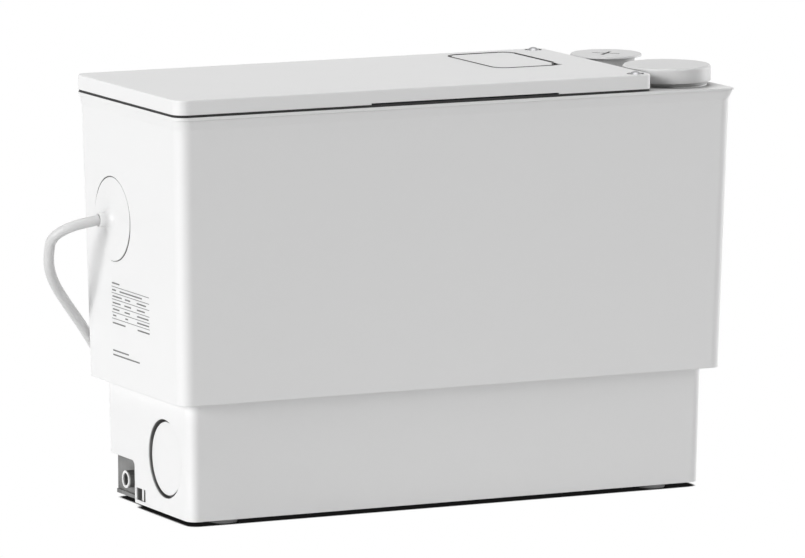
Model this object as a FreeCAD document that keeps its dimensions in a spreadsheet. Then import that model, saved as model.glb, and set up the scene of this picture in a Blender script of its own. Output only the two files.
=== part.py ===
import FreeCAD, Part
import math
import operator
import os
from types import SimpleNamespace

import Sketcher

Vector = FreeCAD.Vector

# Driving dimensions in millimetres.
# Origin at the middle of the footprint, +X to the capped ports, +Y to the rear, +Z up.
SIZES = {
    "overall_width": 391.5,
    "overall_depth": 156.5,
    "foot_height": 3.0,
    "step_height": 78.0,
    "rim_height": 259.1,
    "upper_draft": 5.85,
    "step_inset": 9.0,
    "lower_draft": 1.3,
    "flare": 1.8,
    "flare_drop": 8.0,
    "deck_length": 60.5,
    "deck_fall": 1.3,
    "lip_thick": 2.2,
    "lip_edge": 0.6,
    "rim_corner": 8.5,
    "base_corner": 6.7,
    "tank_wall": 3.0,
    "floor_wall": 5.0,
    "mouth_inset": 20.0,
    "mouth_corner": 10.0,
    "lid_gap": 1.6,
    "lid_height": 9.3,
    "lid_wall": 2.5,
    "lid_round": 0.9,
    "lid_right_corner": 5.5,
    "relief_start": 133.2,
    "relief_end": 264.3,
    "relief_height": 0.9,
    "lid_seal_inset": 0.5,
    "lid_seal_width": 1.8,
    "hatch_width": 46.5,
    "hatch_depth": 77.0,
    "hatch_inset_x": 52.25,
    "hatch_inset_y": 50.05,
    "hatch_corner": 10.0,
    "hatch_gap": 1.2,
    "hatch_thick": 3.0,
    "hatch_ledge": 3.0,
    "finger_width": 8.0,
    "finger_length": 16.0,
    "finger_depth": 5.0,
    "finger_corner": 1.5,
    "lid_screw_inset_x": 9.0,
    "lid_screw_inset_y": 7.0,
    "lid_screw_radius": 2.0,
    "lid_screw_head": 4.3,
    "lid_boss_radius": 4.6,
    "dish_radius": 5.6,
    "dish_depth": 0.8,
    "cover_inset": 12.0,
    "cover_thick": 3.0,
    "cover_corner": 5.0,
    "gasket_thick": 1.5,
    "cover_screw_radius": 1.9,
    "cover_screw_head": 3.4,
    "clearance": 0.1,
    "gap": 0.3,
    "port_inset": 31.55,
    "inlet_inset": 36.5,
    "outlet_inset": 36.15,
    "inlet_bore": 20.4,
    "inlet_tube": 22.8,
    "inlet_collar": 25.0,
    "inlet_base": 25.8,
    "inlet_depth": 32.0,
    "inlet_cap_radius": 28.2,
    "inlet_cap_height": 9.7,
    "inlet_base_height": 2.2,
    "outlet_bore": 16.2,
    "outlet_neck": 18.6,
    "outlet_neck_height": 8.55,
    "outlet_cap_radius": 23.1,
    "outlet_cap_thick": 1.3,
    "spigot_bore": 17.3,
    "spigot_depth": 9.0,
    "seal_section": 1.6,
    "seal_squeeze": 0.05,
    "cross_length": 18.5,
    "cross_width": 2.2,
    "valve_radius": 21.5,
    "valve_bore": 18.0,
    "valve_height": 40.0,
    "valve_seat_bore": 9.5,
    "flap_radius": 12.5,
    "flap_thick": 2.0,
    "flap_pin_radius": 1.5,
    "flap_eye_radius": 2.7,
    "flap_eye_length": 6.0,
    "pin_seat": 1.0,
    "pipe_radius": 10.0,
    "pipe_bore": 8.2,
    "pipe_bend": 30.0,
    "side_bore": 25.0,
    "side_inlet_inset": 52.25,
    "side_inlet_z": 38.0,
    "side_recess": 1.7,
    "side_plug_edge": 1.8,
    "side_plug_step": 3.0,
    "side_plug_groove": 4.0,
    "side_boss": 5.0,
    "notch_depth": 7.4,
    "notch_length": 57.25,
    "notch_top": 29.6,
    "notch_round": 3.5,
    "flange_reach": 1.5,
    "flange_height": 2.5,
    "window_gap": 2.4,
    "window_length": 13.6,
    "window_bar": 3.0,
    "window_bar_drop": 2.0,
    "window_low": 5.3,
    "window_high": 13.1,
    "window_depth": 6.0,
    "sleeve_radius": 5.6,
    "sleeve_bore": 3.95,
    "sleeve_inset": 43.25,
    "sleeve_z": 15.6,
    "foot_radius": 9.0,
    "foot_seat": 2.0,
    "foot_inset_x": 44.75,
    "foot_inset_y": 29.25,
    "gland_y": 26.2,
    "gland_z": 183.6,
    "gland_radius": 27.0,
    "gland_rim": 1.4,
    "gland_reach": 10.5,
    "gland_lip": 4.3,
    "gland_thread": 8.0,
    "gland_stem": 15.0,
    "cord_diameter": 6.7,
    "coil_middle_radius": 36.9,
    "coil_gap": 0.6,
    "coil_x": -20.0,
    "coil_y": 131.525,
    "tie_thick": 1.2,
    "tie_width": 6.0,
    "plug_radius": 18.5,
    "plug_body": 26.0,
    "plug_tail": 30.0,
    "plug_tail_radius": 6.5,
    "plug_pin_radius": 2.4,
    "plug_pin_length": 19.0,
    "plug_pin_spacing": 19.0,
    "shelf_thick": 4.0,
    "shelf_gap": 0.6,
    "dry_length": 141.75,
    "partition_thick": 3.0,
    "pump_inset": 77.75,
    "motor_radius": 46.0,
    "motor_height": 78.0,
    "motor_wall": 3.0,
    "motor_cap_height": 12.0,
    "rib_count": 12,
    "rib_depth": 2.5,
    "stator_inner": 26.0,
    "stator_height": 52.0,
    "air_gap": 0.5,
    "shaft_radius": 6.0,
    "bearing_radius": 16.0,
    "bearing_height": 9.0,
    "seal_radius": 13.0,
    "seal_height": 7.0,
    "volute_start": 40.0,
    "volute_step": 2.6,
    "volute_wall": 3.0,
    "volute_height": 30.0,
    "volute_base": 25.0,
    "hub_radius": 30.0,
    "impeller_radius": 33.0,
    "impeller_disc": 3.0,
    "blade_count": 6,
    "blade_height": 9.0,
    "blade_thick": 2.5,
    "nut_height": 5.0,
    "strainer_radius": 34.0,
    "strainer_wall": 2.0,
    "slot_count": 18,
    "level_inset_x": 125.75,
    "level_inset_y": 48.25,
    "level_radius": 15.0,
    "level_wall": 2.0,
    "level_bottom": 30.0,
    "level_top": 236.0,
    "nipple_radius": 3.0,
    "nipple_length": 9.0,
    "nipple_drop": 8.0,
    "hose_wall": 1.5,
    "switch_radius": 20.0,
    "switch_length": 20.0,
    "switch_inset": 44.25,
    "switch_z": 214.0,
    "plunger_radius": 4.0,
    "plunger_length": 8.0,
    "plunger_travel": 1.5,
    "capacitor_radius": 13.0,
    "capacitor_height": 58.0,
    "capacitor_inset_x": 31.75,
    "capacitor_inset_y": 29.25,
    "terminal_width": 42.0,
    "terminal_height": 18.0,
    "terminal_thick": 14.0,
    "terminal_y": -14.0,
    "terminal_z": 196.0,
    "filter_height": 18.0,
    "filter_side": 3.25,
    "filter_front": 5.3,
    "filter_back": 3.25,
    "air_hole_spacing": 10.0,
    "hose_straight": 34.0,
    "lead_straight": 18.0,
    "hanger_radius": 7.0,
    "basket_wall": 1.6,
}

# Points of the cord's free stretches, chosen by hand along what the photograph shows.
GLAND_TO_COIL = [
    (-202.325, 26.2, 183.6), (-213.5, 26.2, 183.6), (-224.0, 29.0, 179.2), (-230.3, 34.4, 170.8),
    (-230.8, 41.3, 160.1), (-226.3, 48.6, 148.7), (-214.5, 60.2, 130.7), (-185.0, 80.7, 99.5),
    (-160.0, 86.0, 62.0), (-130.0, 87.0, 31.0), (-95.0, 86.5, 11.0), (-60.0, 85.5, 4.7),
    (-26.7, 85.5, 4.7),
]
COIL_TO_PLUG = [
    (-13.3, 85.5, 12.0), (6.0, 85.5, 12.0), (28.0, 90.0, 14.0), (52.0, 98.0, 18.5), (74.0, 98.0, 18.5),
]
COIL_TURNS_PER_LAYER = 2.5


class Size:
    """A length that carries its number and the spreadsheet expression that gives it."""

    def __init__(self, text, number):
        self.text = text
        self.number = number

    def __add__(self, other):
        return combine(self, "+", other)

    def __radd__(self, other):
        return combine(other, "+", self)

    def __sub__(self, other):
        return combine(self, "-", other)

    def __rsub__(self, other):
        return combine(other, "-", self)

    def __mul__(self, other):
        return combine(self, "*", other)

    def __rmul__(self, other):
        return combine(other, "*", self)

    def __truediv__(self, other):
        return combine(self, "/", other)

    def __neg__(self):
        return combine(0, "-", self)

    def __float__(self):
        return self.number


OPERATIONS = {"+": operator.add, "-": operator.sub, "*": operator.mul, "/": operator.truediv}


def as_size(value):
    return value if isinstance(value, Size) else Size(repr(value), float(value))


def combine(left, sign, right):
    first = as_size(left)
    second = as_size(right)
    number = OPERATIONS[sign](first.number, second.number)
    return Size("(%s %s %s)" % (first.text, sign, second.text), number)


doc = FreeCAD.newDocument("GreyWaterPump")
sheet = doc.addObject("Spreadsheet::Sheet", "Sizes")
for row, (alias, value) in enumerate(SIZES.items(), start=1):
    sheet.set("A%d" % row, alias)
    sheet.set("B%d" % row, str(value))
    sheet.setAlias("B%d" % row, alias)
doc.recompute()
s = SimpleNamespace(**{alias: Size("Sizes." + alias, float(getattr(sheet, alias))) for alias in SIZES})

# Places that several pieces share.
half_width = s.overall_width / 2
half_depth = s.overall_depth / 2
lower_inset = s.upper_draft + s.step_inset
lid_length = s.overall_width - s.deck_length
side_face = half_width - lower_inset - s.lower_draft / 2
deck_under = s.rim_height - s.tank_wall
lid_bottom = s.rim_height + s.lid_gap
lid_top = lid_bottom + s.lid_height
lid_under = lid_top - s.lid_wall
lid_right = half_width - s.deck_length
lid_middle = lid_right - lid_length / 2
hatch_x = lid_right - s.hatch_inset_x
hatch_y = half_depth - s.hatch_inset_y
hatch_right = hatch_x + s.hatch_width / 2
hatch_front = hatch_y - s.hatch_depth / 2
hatch_seat = lid_top - s.hatch_thick
filter_width = s.hatch_width - 2 * s.filter_side
filter_rear = half_depth - s.mouth_inset - s.filter_back
filter_depth = filter_rear - hatch_front - s.filter_front
filter_y = filter_rear - filter_depth / 2
lid_screw_x = lid_right - s.lid_screw_inset_x
lid_screw_y = half_depth - s.lid_screw_inset_y
cover_bottom = s.rim_height + s.gasket_thick
cover_top = cover_bottom + s.cover_thick
cover_screw_inset = (s.cover_inset + s.mouth_inset) / 2
gland_face = half_width - s.flare - s.upper_draft / 2 + 0.8
port_x = half_width - s.port_inset
inlet_y = -1 * half_depth + s.inlet_inset
outlet_y = half_depth - s.outlet_inset
side_inlet_y = -1 * half_depth + s.side_inlet_inset
notch_wall = side_face - s.notch_depth
notch_front = half_depth - s.notch_length
sleeve_y = half_depth - s.sleeve_inset
partition_x = -1 * half_width + s.dry_length
pump_x = -1 * half_width + s.pump_inset
level_x = half_width - s.level_inset_x
level_y = -1 * half_depth + s.level_inset_y
switch_y = half_depth - s.switch_inset
shelf_z = s.step_height + s.tank_wall
motor_base = shelf_z + s.shelf_thick
motor_top = motor_base + s.motor_height
floor_z = s.foot_height + s.floor_wall
volute_top = s.volute_base + s.volute_height
valve_top = s.rim_height - s.inlet_depth
valve_bottom = valve_top - s.valve_height
volute_spout_end = pump_x + s.volute_start + s.volute_wall + s.nipple_length * 2
pipe_z = s.volute_base + s.volute_height / 2
nodes = []


# Document and sketch helpers.
def bind(target, path, size):
    target.setExpression(path, as_size(size).text)


def register(node, label):
    node.Label = label
    nodes.append(node)
    return node


def new_body(label, x=None, y=None, z=None):
    body = register(doc.addObject("PartDesign::Body", label), label)
    for axis, size in (("x", x), ("y", y), ("z", z)):
        if size is not None:
            bind(body, "Placement.Base." + axis, size)
    return body


def sketch_on(body, name, role="XY_Plane", offset=None):
    plane = [item for item in body.Origin.OriginFeatures if item.Role == role][0]
    sketch = body.newObject("Sketcher::SketchObject", name)
    sketch.AttachmentSupport = [(plane, "")]
    sketch.MapMode = "FlatFace"
    if offset is not None:
        bind(sketch, "AttachmentOffset.Base.z", offset)
    return sketch


def dimension(sketch, kind, where, size):
    size = as_size(size)
    index = sketch.addConstraint(Sketcher.Constraint(kind, *where, size.number))
    if "Sizes" in size.text:
        sketch.setExpression("Constraints[%d]" % index, size.text)


def locate(sketch, geometry, vertex, x, y):
    for kind, axis, size in (("DistanceX", -2, as_size(x)), ("DistanceY", -1, as_size(y))):
        if abs(size.number) < 1e-9:
            sketch.addConstraint(Sketcher.Constraint("PointOnObject", geometry, vertex, axis))
        else:
            dimension(sketch, kind, (-1, 1, geometry, vertex), size)


def outline(sketch, points):
    """Closed run of straight edges with every corner tied to the sheet."""
    corners = [Vector(float(x), float(y), 0) for x, y in points]
    first = sketch.GeometryCount
    count = len(corners)
    for i in range(count):
        sketch.addGeometry(Part.LineSegment(corners[i], corners[(i + 1) % count]))
    for i in range(count):
        following = first + (i + 1) % count
        sketch.addConstraint(Sketcher.Constraint("Coincident", first + i, 2, following, 1))
    for i, (x, y) in enumerate(points):
        locate(sketch, first + i, 1, x, y)


def rectangle(sketch, x0, y0, x1, y1):
    outline(sketch, [(x0, y0), (x1, y0), (x1, y1), (x0, y1)])


def circle(sketch, radius, x=0, y=0):
    index = sketch.addGeometry(Part.Circle(Vector(float(x), float(y), 0), Vector(0, 0, 1), float(radius)))
    locate(sketch, index, 3, x, y)
    dimension(sketch, "Radius", (index,), radius)


def rounded(sketch, width, depth, radius, x=0, y=0, right_radius=None):
    """Rectangle with round corners, the right-hand pair with a radius of its own where one is given."""
    w, d, cx, cy = float(width) / 2, float(depth) / 2, float(x), float(y)
    left = float(radius)
    right = left if right_radius is None else float(right_radius)
    spots = [(cx + w, cy - d, right), (cx + w, cy + d, right), (cx - w, cy + d, left), (cx - w, cy - d, left)]
    signs = [(-1, 1), (-1, -1), (1, -1), (1, 1)]
    centres = [Vector(px + sx * r, py + sy * r, 0) for (px, py, r), (sx, sy) in zip(spots, signs)]
    first = sketch.GeometryCount
    for i, (px, py, r) in enumerate(spots):
        start = -math.pi / 2 + i * math.pi / 2
        round_corner = Part.Circle(centres[i], Vector(0, 0, 1), r)
        sketch.addGeometry(Part.ArcOfCircle(round_corner, start, start + math.pi / 2))
    for i in range(4):
        one = sketch.Geometry[first + i].EndPoint
        two = sketch.Geometry[first + (i + 1) % 4].StartPoint
        sketch.addGeometry(Part.LineSegment(one, two))
    for i in range(4):
        line = first + 4 + i
        sketch.addConstraint(Sketcher.Constraint("Tangent", first + i, 2, line, 1))
        sketch.addConstraint(Sketcher.Constraint("Tangent", line, 2, first + (i + 1) % 4, 1))
        sketch.addConstraint(Sketcher.Constraint("Horizontal" if i % 2 else "Vertical", line))
    sketch.addConstraint(Sketcher.Constraint("Equal", first, first + 1))
    sketch.addConstraint(Sketcher.Constraint("Equal", first + 2, first + 3))
    dimension(sketch, "Radius", (first + 2,), radius)
    dimension(sketch, "Radius", (first,), radius if right_radius is None else right_radius)
    below = y - depth / 2
    locate(sketch, first + 4, 1, x + width / 2, below + (radius if right_radius is None else right_radius))
    locate(sketch, first + 6, 1, x - width / 2, y + depth / 2 - radius)


def pad(body, sketch, length, reverse=False):
    feature = body.newObject("PartDesign::Pad", sketch.Name + "Pad")
    feature.Profile = sketch
    bind(feature, "Length", length)
    feature.Reversed = reverse
    doc.recompute()
    return feature


def pocket(body, sketch, length, reverse=False):
    """Cut against the sketch's normal, or along it when reversed, and make sure that it cuts."""
    before = body.Tip.Shape.Volume
    feature = body.newObject("PartDesign::Pocket", sketch.Name + "Pocket")
    feature.Profile = sketch
    bind(feature, "Length", length)
    feature.Reversed = reverse
    doc.recompute()
    if feature.Shape.Volume > before - 1e-6:
        raise RuntimeError("%s cuts nothing" % feature.Name)
    return feature


def loft(body, name, lower, upper, cut=False):
    feature = body.newObject("PartDesign::SubtractiveLoft" if cut else "PartDesign::AdditiveLoft", name)
    feature.Profile = lower
    feature.Sections = [upper]
    feature.Ruled = True
    doc.recompute()
    return feature


def revolve(body, sketch, axis="V_Axis"):
    feature = body.newObject("PartDesign::Revolution", sketch.Name + "Turn")
    feature.Profile = sketch
    feature.ReferenceAxis = (sketch, [axis])
    feature.Angle = 360
    doc.recompute()
    return feature


def around(body, feature, count, role="Z_Axis"):
    axis = [item for item in body.Origin.OriginFeatures if item.Role == role][0]
    pattern = body.newObject("PartDesign::PolarPattern", feature.Name + "Ring")
    pattern.Originals = [feature]
    pattern.Axis = (axis, [""])
    pattern.Angle = 360
    bind(pattern, "Occurrences", count)
    body.Tip = pattern
    doc.recompute()
    return pattern


def round_edges(body, radius, wanted):
    """Round the edges of the tip's shape that the test picks."""
    base = body.Tip
    names = ["Edge%d" % (i + 1) for i, edge in enumerate(base.Shape.Edges) if wanted(edge.BoundBox)]
    feature = body.newObject("PartDesign::Fillet", body.Name + "Round")
    feature.Base = (base, names)
    bind(feature, "Radius", radius)
    doc.recompute()
    return feature


def turned(label, points, x=None, y=None, z=None, axis="V_Axis"):
    """Piece turned about its own upright axis, or about X when the axis is H_Axis."""
    body = new_body(label, x, y, z)
    sketch = sketch_on(body, label + "Profile", "XZ_Plane")
    outline(sketch, points)
    revolve(body, sketch, axis)
    return body


def ring(label, inner, outer, height, x=None, y=None, z=None):
    return turned(label, [(inner, 0), (outer, 0), (outer, height), (inner, height)], x, y, z)


def solid_node(label, shape):
    """Piece that needs a shape made directly, already in its place."""
    node = register(doc.addObject("Part::Feature", label), label)
    node.Shape = shape
    return node


def at(x, y, z):
    return Vector(float(x), float(y), float(z))


# Tank.
def level_outline(body, name, height, inset, radius, right_radius=None):
    sketch = sketch_on(body, name, "XY_Plane", height)
    width, depth = s.overall_width - 2 * inset, s.overall_depth - 2 * inset
    rounded(sketch, width, depth, radius, right_radius=right_radius)
    return sketch


def tank_shell(body):
    low = level_outline(body, "BaseOutline", s.foot_height, lower_inset + s.lower_draft, s.base_corner)
    low_top = level_outline(body, "LowerTopOutline", s.step_height, lower_inset, s.base_corner)
    loft(body, "LowerBody", low, low_top)
    high = level_outline(body, "StepOutline", s.step_height, s.upper_draft, s.rim_corner)
    high_top = level_outline(body, "UnderFlareOutline", s.rim_height - s.flare_drop, s.flare, s.rim_corner)
    loft(body, "UpperBody", high, high_top)
    lip_z = s.rim_height - s.lip_thick
    flare_low = level_outline(body, "FlareOutline", s.rim_height - s.flare_drop, s.flare, s.rim_corner)
    flare_top = level_outline(body, "FlareTopOutline", lip_z, s.lip_edge, s.rim_corner, s.lid_right_corner)
    loft(body, "RimFlare", flare_low, flare_top)
    lip = level_outline(body, "LipOutline", lip_z, 0, s.rim_corner, s.lid_right_corner)
    pad(body, lip, s.lip_thick)


def tank_cavity(body):
    wall = s.tank_wall
    low_inset = lower_inset + s.lower_draft + wall
    low = level_outline(body, "SumpFloor", floor_z, low_inset, s.base_corner - wall)
    low_top = level_outline(body, "SumpTop", s.step_height + wall, lower_inset + wall, s.base_corner - wall)
    loft(body, "Sump", low, low_top, cut=True)
    high = level_outline(body, "HallFloor", s.step_height + wall, s.upper_draft + wall, s.rim_corner - wall)
    high_top = level_outline(body, "HallTop", deck_under, s.flare + wall, s.rim_corner - wall)
    loft(body, "Hall", high, high_top, cut=True)


def tank_deck(body):
    """Let the deck fall away from the lid, with a level seat left under the inlet."""
    wedge = sketch_on(body, "DeckFall", "XZ_Plane", -1 * half_depth - s.lid_gap)
    start, past = lid_right + s.gap, half_width + s.lid_gap
    outline(wedge, [(start, s.rim_height), (past, s.rim_height - s.deck_fall), (past, lid_bottom),
                    (start, lid_bottom)])
    pocket(body, wedge, s.overall_depth + 2 * s.lid_gap, reverse=True)
    seat = sketch_on(body, "InletSeat", "XY_Plane", deck_under)
    circle(seat, s.inlet_base, port_x, inlet_y)
    pad(body, seat, s.tank_wall)


def tank_openings(body):
    mouth = sketch_on(body, "Mouth", "XY_Plane", s.rim_height)
    width = lid_length - 2 * s.mouth_inset
    rounded(mouth, width, s.overall_depth - 2 * s.mouth_inset, s.mouth_corner, lid_middle, 0)
    pocket(body, mouth, s.tank_wall)
    ports = sketch_on(body, "Ports", "XY_Plane", s.rim_height)
    circle(ports, s.inlet_tube + s.clearance, port_x, inlet_y)
    circle(ports, s.outlet_neck + s.clearance, port_x, outlet_y)
    for x, y in cover_screw_places():
        circle(ports, s.cover_screw_radius + s.clearance, x, y)
    for side in (-1, 1):
        circle(ports, s.lid_screw_radius + s.clearance, lid_screw_x, side * lid_screw_y)
    pocket(body, ports, s.tank_wall)


def tank_side_inlet(body, side):
    name = "Left" if side < 0 else "Right"
    inner = side_face - s.tank_wall
    boss = sketch_on(body, name + "InletBoss", "YZ_Plane", side * inner)
    circle(boss, s.side_bore + s.side_boss, side_inlet_y, s.side_inlet_z)
    pad(body, boss, s.side_boss, reverse=side > 0)
    bore = sketch_on(body, name + "InletBore", "YZ_Plane", side * (inner - 2 * s.side_boss))
    circle(bore, s.side_bore, side_inlet_y, s.side_inlet_z)
    pocket(body, bore, s.notch_depth + 2 * s.side_boss, reverse=side > 0)


def tank_notch(body, side):
    name = "Left" if side < 0 else "Right"
    outer = half_width - lower_inset - s.lower_draft - s.tank_wall / 2
    rear = half_depth - lower_inset - s.lower_draft - s.tank_wall / 2
    window_back = notch_front - s.window_gap
    window_front = window_back - s.window_length
    window_middle = (window_front + window_back) / 2
    block = sketch_on(body, name + "NotchBlock", "XY_Plane", floor_z)
    rectangle(block, side * outer, window_front - s.tank_wall, side * (notch_wall - s.tank_wall), rear)
    pad(body, block, s.notch_top + s.tank_wall - floor_z)
    notch = sketch_on(body, name + "Notch", "YZ_Plane", side * notch_wall)
    low = s.foot_height - 2 * s.notch_round
    past = half_depth - notch_front
    rounded(notch, past, s.notch_top - low, s.notch_round, notch_front + past / 2, (s.notch_top + low) / 2)
    pocket(body, notch, 2 * s.notch_depth, reverse=side > 0)
    flange = sketch_on(body, name + "NotchFlange", "YZ_Plane", side * notch_wall)
    rectangle(flange, notch_front, s.foot_height, rear, s.foot_height + s.flange_height)
    pad(body, flange, s.flange_reach, reverse=side < 0)
    window = sketch_on(body, name + "Window", "YZ_Plane", side * (side_face - s.window_depth))
    rectangle(window, window_front, s.window_low, window_middle - s.window_bar / 2, s.window_high)
    rectangle(window, window_middle + s.window_bar / 2, s.window_low, window_back, s.window_high)
    pocket(body, window, 2 * s.window_depth, reverse=side > 0)
    front = sketch_on(body, name + "WindowFront", "YZ_Plane", side * (side_face - s.window_bar_drop))
    rectangle(front, window_front, s.window_low, window_back, s.window_high)
    pocket(body, front, 2 * s.window_depth, reverse=side > 0)


def tank_gland_seat(body):
    face = sketch_on(body, "GlandSeat", "YZ_Plane", -gland_face)
    circle(face, s.gland_radius + s.clearance, s.gland_y, s.gland_z)
    pocket(body, face, 2 * s.tank_wall)
    hole = sketch_on(body, "GlandHole", "YZ_Plane", -gland_face)
    circle(hole, s.gland_thread + s.clearance, s.gland_y, s.gland_z)
    pocket(body, hole, 2 * s.tank_wall, reverse=True)


def tank_foot_seats(body):
    seats = sketch_on(body, "FootSeats", "XY_Plane", s.foot_height)
    for x, y in foot_places():
        circle(seats, s.foot_radius + s.clearance, x, y)
    pocket(body, seats, s.foot_seat, reverse=True)


def make_tank():
    body = new_body("tank")
    tank_shell(body)
    tank_cavity(body)
    tank_deck(body)
    tank_openings(body)
    for side in (-1, 1):
        tank_side_inlet(body, side)
        tank_notch(body, side)
    tank_gland_seat(body)
    tank_foot_seats(body)


# Cover under the lid.
def cover_screw_places():
    inset = cover_screw_inset
    left = inset - half_width
    right = lid_right - inset
    places = []
    for y in (inset - half_depth, half_depth - inset):
        for x in (left, lid_middle, right):
            places.append((x, y))
    return places


def make_cover():
    body = new_body("tank_cover")
    plate = sketch_on(body, "CoverPlate", "XY_Plane", cover_bottom)
    width = lid_length - 2 * s.cover_inset
    rounded(plate, width, s.overall_depth - 2 * s.cover_inset, s.cover_corner, lid_middle, 0)
    for x, y in cover_screw_places():
        circle(plate, s.cover_screw_radius + s.clearance, x, y)
    width, depth = basket_outer()
    rounded(plate, width, depth, s.hatch_corner, hatch_x, filter_y)
    pad(body, plate, s.cover_thick)


def make_gasket():
    body = new_body("cover_gasket")
    band = sketch_on(body, "GasketBand", "XY_Plane", s.rim_height)
    outer = s.cover_inset + s.gap
    inner = s.mouth_inset - s.gap
    rounded(band, lid_length - 2 * outer, s.overall_depth - 2 * outer, s.cover_corner, lid_middle, 0)
    rounded(band, lid_length - 2 * inner, s.overall_depth - 2 * inner, s.mouth_corner, lid_middle, 0)
    for x, y in cover_screw_places():
        circle(band, s.cover_screw_radius + s.clearance, x, y)
    pad(body, band, s.gasket_thick)


def make_lid_seal():
    body = new_body("lid_seal")
    band = sketch_on(body, "LidSealBand", "XY_Plane", s.rim_height)
    for inset in (s.lid_seal_inset, s.lid_seal_inset + s.lid_seal_width):
        width, depth = lid_length - 2 * inset, s.overall_depth - 2 * inset
        rounded(band, width, depth, s.rim_corner - inset, lid_middle, 0, s.lid_right_corner - inset)
    pad(body, band, s.lid_gap)


def domed_screw(head_radius, head_height, shank_radius, shank_length, foot):
    """Screw with a domed head whose shank ends at the given foot."""
    radius, height = float(head_radius), float(head_height)
    shank = Part.makeCylinder(float(shank_radius), float(shank_length), foot)
    seat = foot + Vector(0, 0, float(shank_length))
    ball = (radius * radius + height * height) / (2 * height)
    dome = Part.makeSphere(ball, seat + Vector(0, 0, height - ball))
    head = dome.common(Part.makeCylinder(radius, 2 * height, seat))
    return shank.fuse(head).removeSplitter()


def make_cover_screws():
    length = cover_top - deck_under
    screws = []
    for x, y in cover_screw_places():
        foot = at(x, y, deck_under)
        screws.append(domed_screw(s.cover_screw_head, s.lid_wall, s.cover_screw_radius, length, foot))
    solid_node("cover_screws", Part.makeCompound(screws))


# Lid, its hatch and its screws.
def hatch_opening(extra):
    return s.hatch_width + 2 * extra, s.hatch_depth + 2 * extra


def make_lid():
    body = new_body("lid")
    plate = sketch_on(body, "LidOutline", "XY_Plane", lid_bottom)
    rounded(plate, lid_length, s.overall_depth, s.rim_corner, lid_middle, 0, s.lid_right_corner)
    pad(body, plate, s.lid_height)
    top = float(lid_top) - 1e-3
    round_edges(body, s.lid_round, lambda box: box.ZMin > top)
    hollow = sketch_on(body, "LidHollow", "XY_Plane", lid_under)
    width, depth = lid_length - 2 * s.lid_wall, s.overall_depth - 2 * s.lid_wall
    rounded(hollow, width, depth, s.rim_corner - s.lid_wall, lid_middle, 0, s.lid_right_corner - s.lid_wall)
    pocket(body, hollow, s.lid_height)
    lid_bosses(body)
    lid_hatch_seat(body)
    lid_screw_holes(body)
    relief = sketch_on(body, "FrontRelief", "XZ_Plane", half_depth - s.lid_wall - s.gap)
    rectangle(relief, s.relief_start - half_width, lid_bottom - s.lid_gap, s.relief_end - half_width,
              lid_bottom + s.relief_height)
    pocket(body, relief, 3 * s.lid_wall, reverse=True)


def lid_bosses(body):
    bosses = sketch_on(body, "LidBosses", "XY_Plane", s.rim_height)
    for side in (-1, 1):
        circle(bosses, s.lid_boss_radius, lid_screw_x, side * lid_screw_y)
        circle(bosses, s.lid_boss_radius, s.lid_screw_inset_x - half_width, side * lid_screw_y)
    pad(body, bosses, lid_under - s.rim_height + s.lid_wall / 2)


def lid_hatch_seat(body):
    frame = sketch_on(body, "HatchFrame", "XY_Plane", cover_top + s.gap)
    width, depth = hatch_opening(s.lid_wall)
    rounded(frame, width, depth, s.hatch_corner + s.lid_wall, hatch_x, hatch_y, s.hatch_corner / 2)
    pad(body, frame, lid_under - cover_top)
    seat = sketch_on(body, "HatchSeat", "XY_Plane", lid_top)
    rounded(seat, s.hatch_width, s.hatch_depth, s.hatch_corner, hatch_x, hatch_y)
    pocket(body, seat, s.hatch_thick)
    way = sketch_on(body, "FilterWay", "XY_Plane", lid_top)
    width, depth = hatch_opening(-1 * s.hatch_ledge)
    rounded(way, width, depth, s.hatch_corner - s.hatch_ledge, hatch_x, hatch_y)
    pocket(body, way, 2 * s.lid_height)
    pit = sketch_on(body, "FingerPit", "XY_Plane", lid_top)
    x, y = hatch_right - s.finger_width / 2, hatch_front + s.finger_length / 2
    rounded(pit, s.finger_width, s.finger_length, s.finger_corner, x, y)
    pocket(body, pit, s.finger_depth)


def lid_screw_holes(body):
    holes = sketch_on(body, "LidScrewHoles", "XY_Plane", lid_top)
    dishes = sketch_on(body, "LidScrewDishes", "XY_Plane", lid_top)
    for side in (-1, 1):
        circle(holes, s.lid_screw_radius + s.clearance, lid_screw_x, side * lid_screw_y)
        circle(dishes, s.dish_radius, lid_screw_x, side * lid_screw_y)
    pocket(body, holes, 2 * s.lid_height)
    pocket(body, dishes, s.dish_depth)


def make_lid_screws():
    for name, side in (("front", -1), ("rear", 1)):
        seat = lid_top - s.dish_depth
        foot = at(lid_screw_x, side * lid_screw_y, deck_under)
        shape = domed_screw(s.lid_screw_head, s.lid_wall, s.lid_screw_radius, seat - deck_under, foot)
        solid_node("lid_screw_" + name, shape)


def make_hatch():
    body = new_body("hatch")
    panel = sketch_on(body, "HatchPanel", "XY_Plane", hatch_seat)
    width, depth = hatch_opening(-1 * s.hatch_gap)
    rounded(panel, width, depth, s.hatch_corner - s.hatch_gap, hatch_x, hatch_y)
    pad(body, panel, s.hatch_thick)
    corner = sketch_on(body, "HatchFinger", "XY_Plane", lid_top)
    outline(corner, [(hatch_right, hatch_front), (hatch_right, hatch_front + s.finger_length),
                     (hatch_right - s.finger_width, hatch_front)])
    pocket(body, corner, 2 * s.hatch_thick)


def filter_size(extra):
    return filter_width + 2 * extra, filter_depth + 2 * extra


def basket_outer():
    return filter_size(s.gap * 2 + s.basket_wall)


def make_filter():
    body = new_body("carbon_filter")
    block = sketch_on(body, "FilterBlock", "XY_Plane", hatch_seat)
    width, depth = filter_size(0)
    rounded(block, width, depth, s.hatch_corner - s.hatch_ledge, hatch_x, filter_y)
    pad(body, block, s.filter_height, reverse=True)


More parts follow.
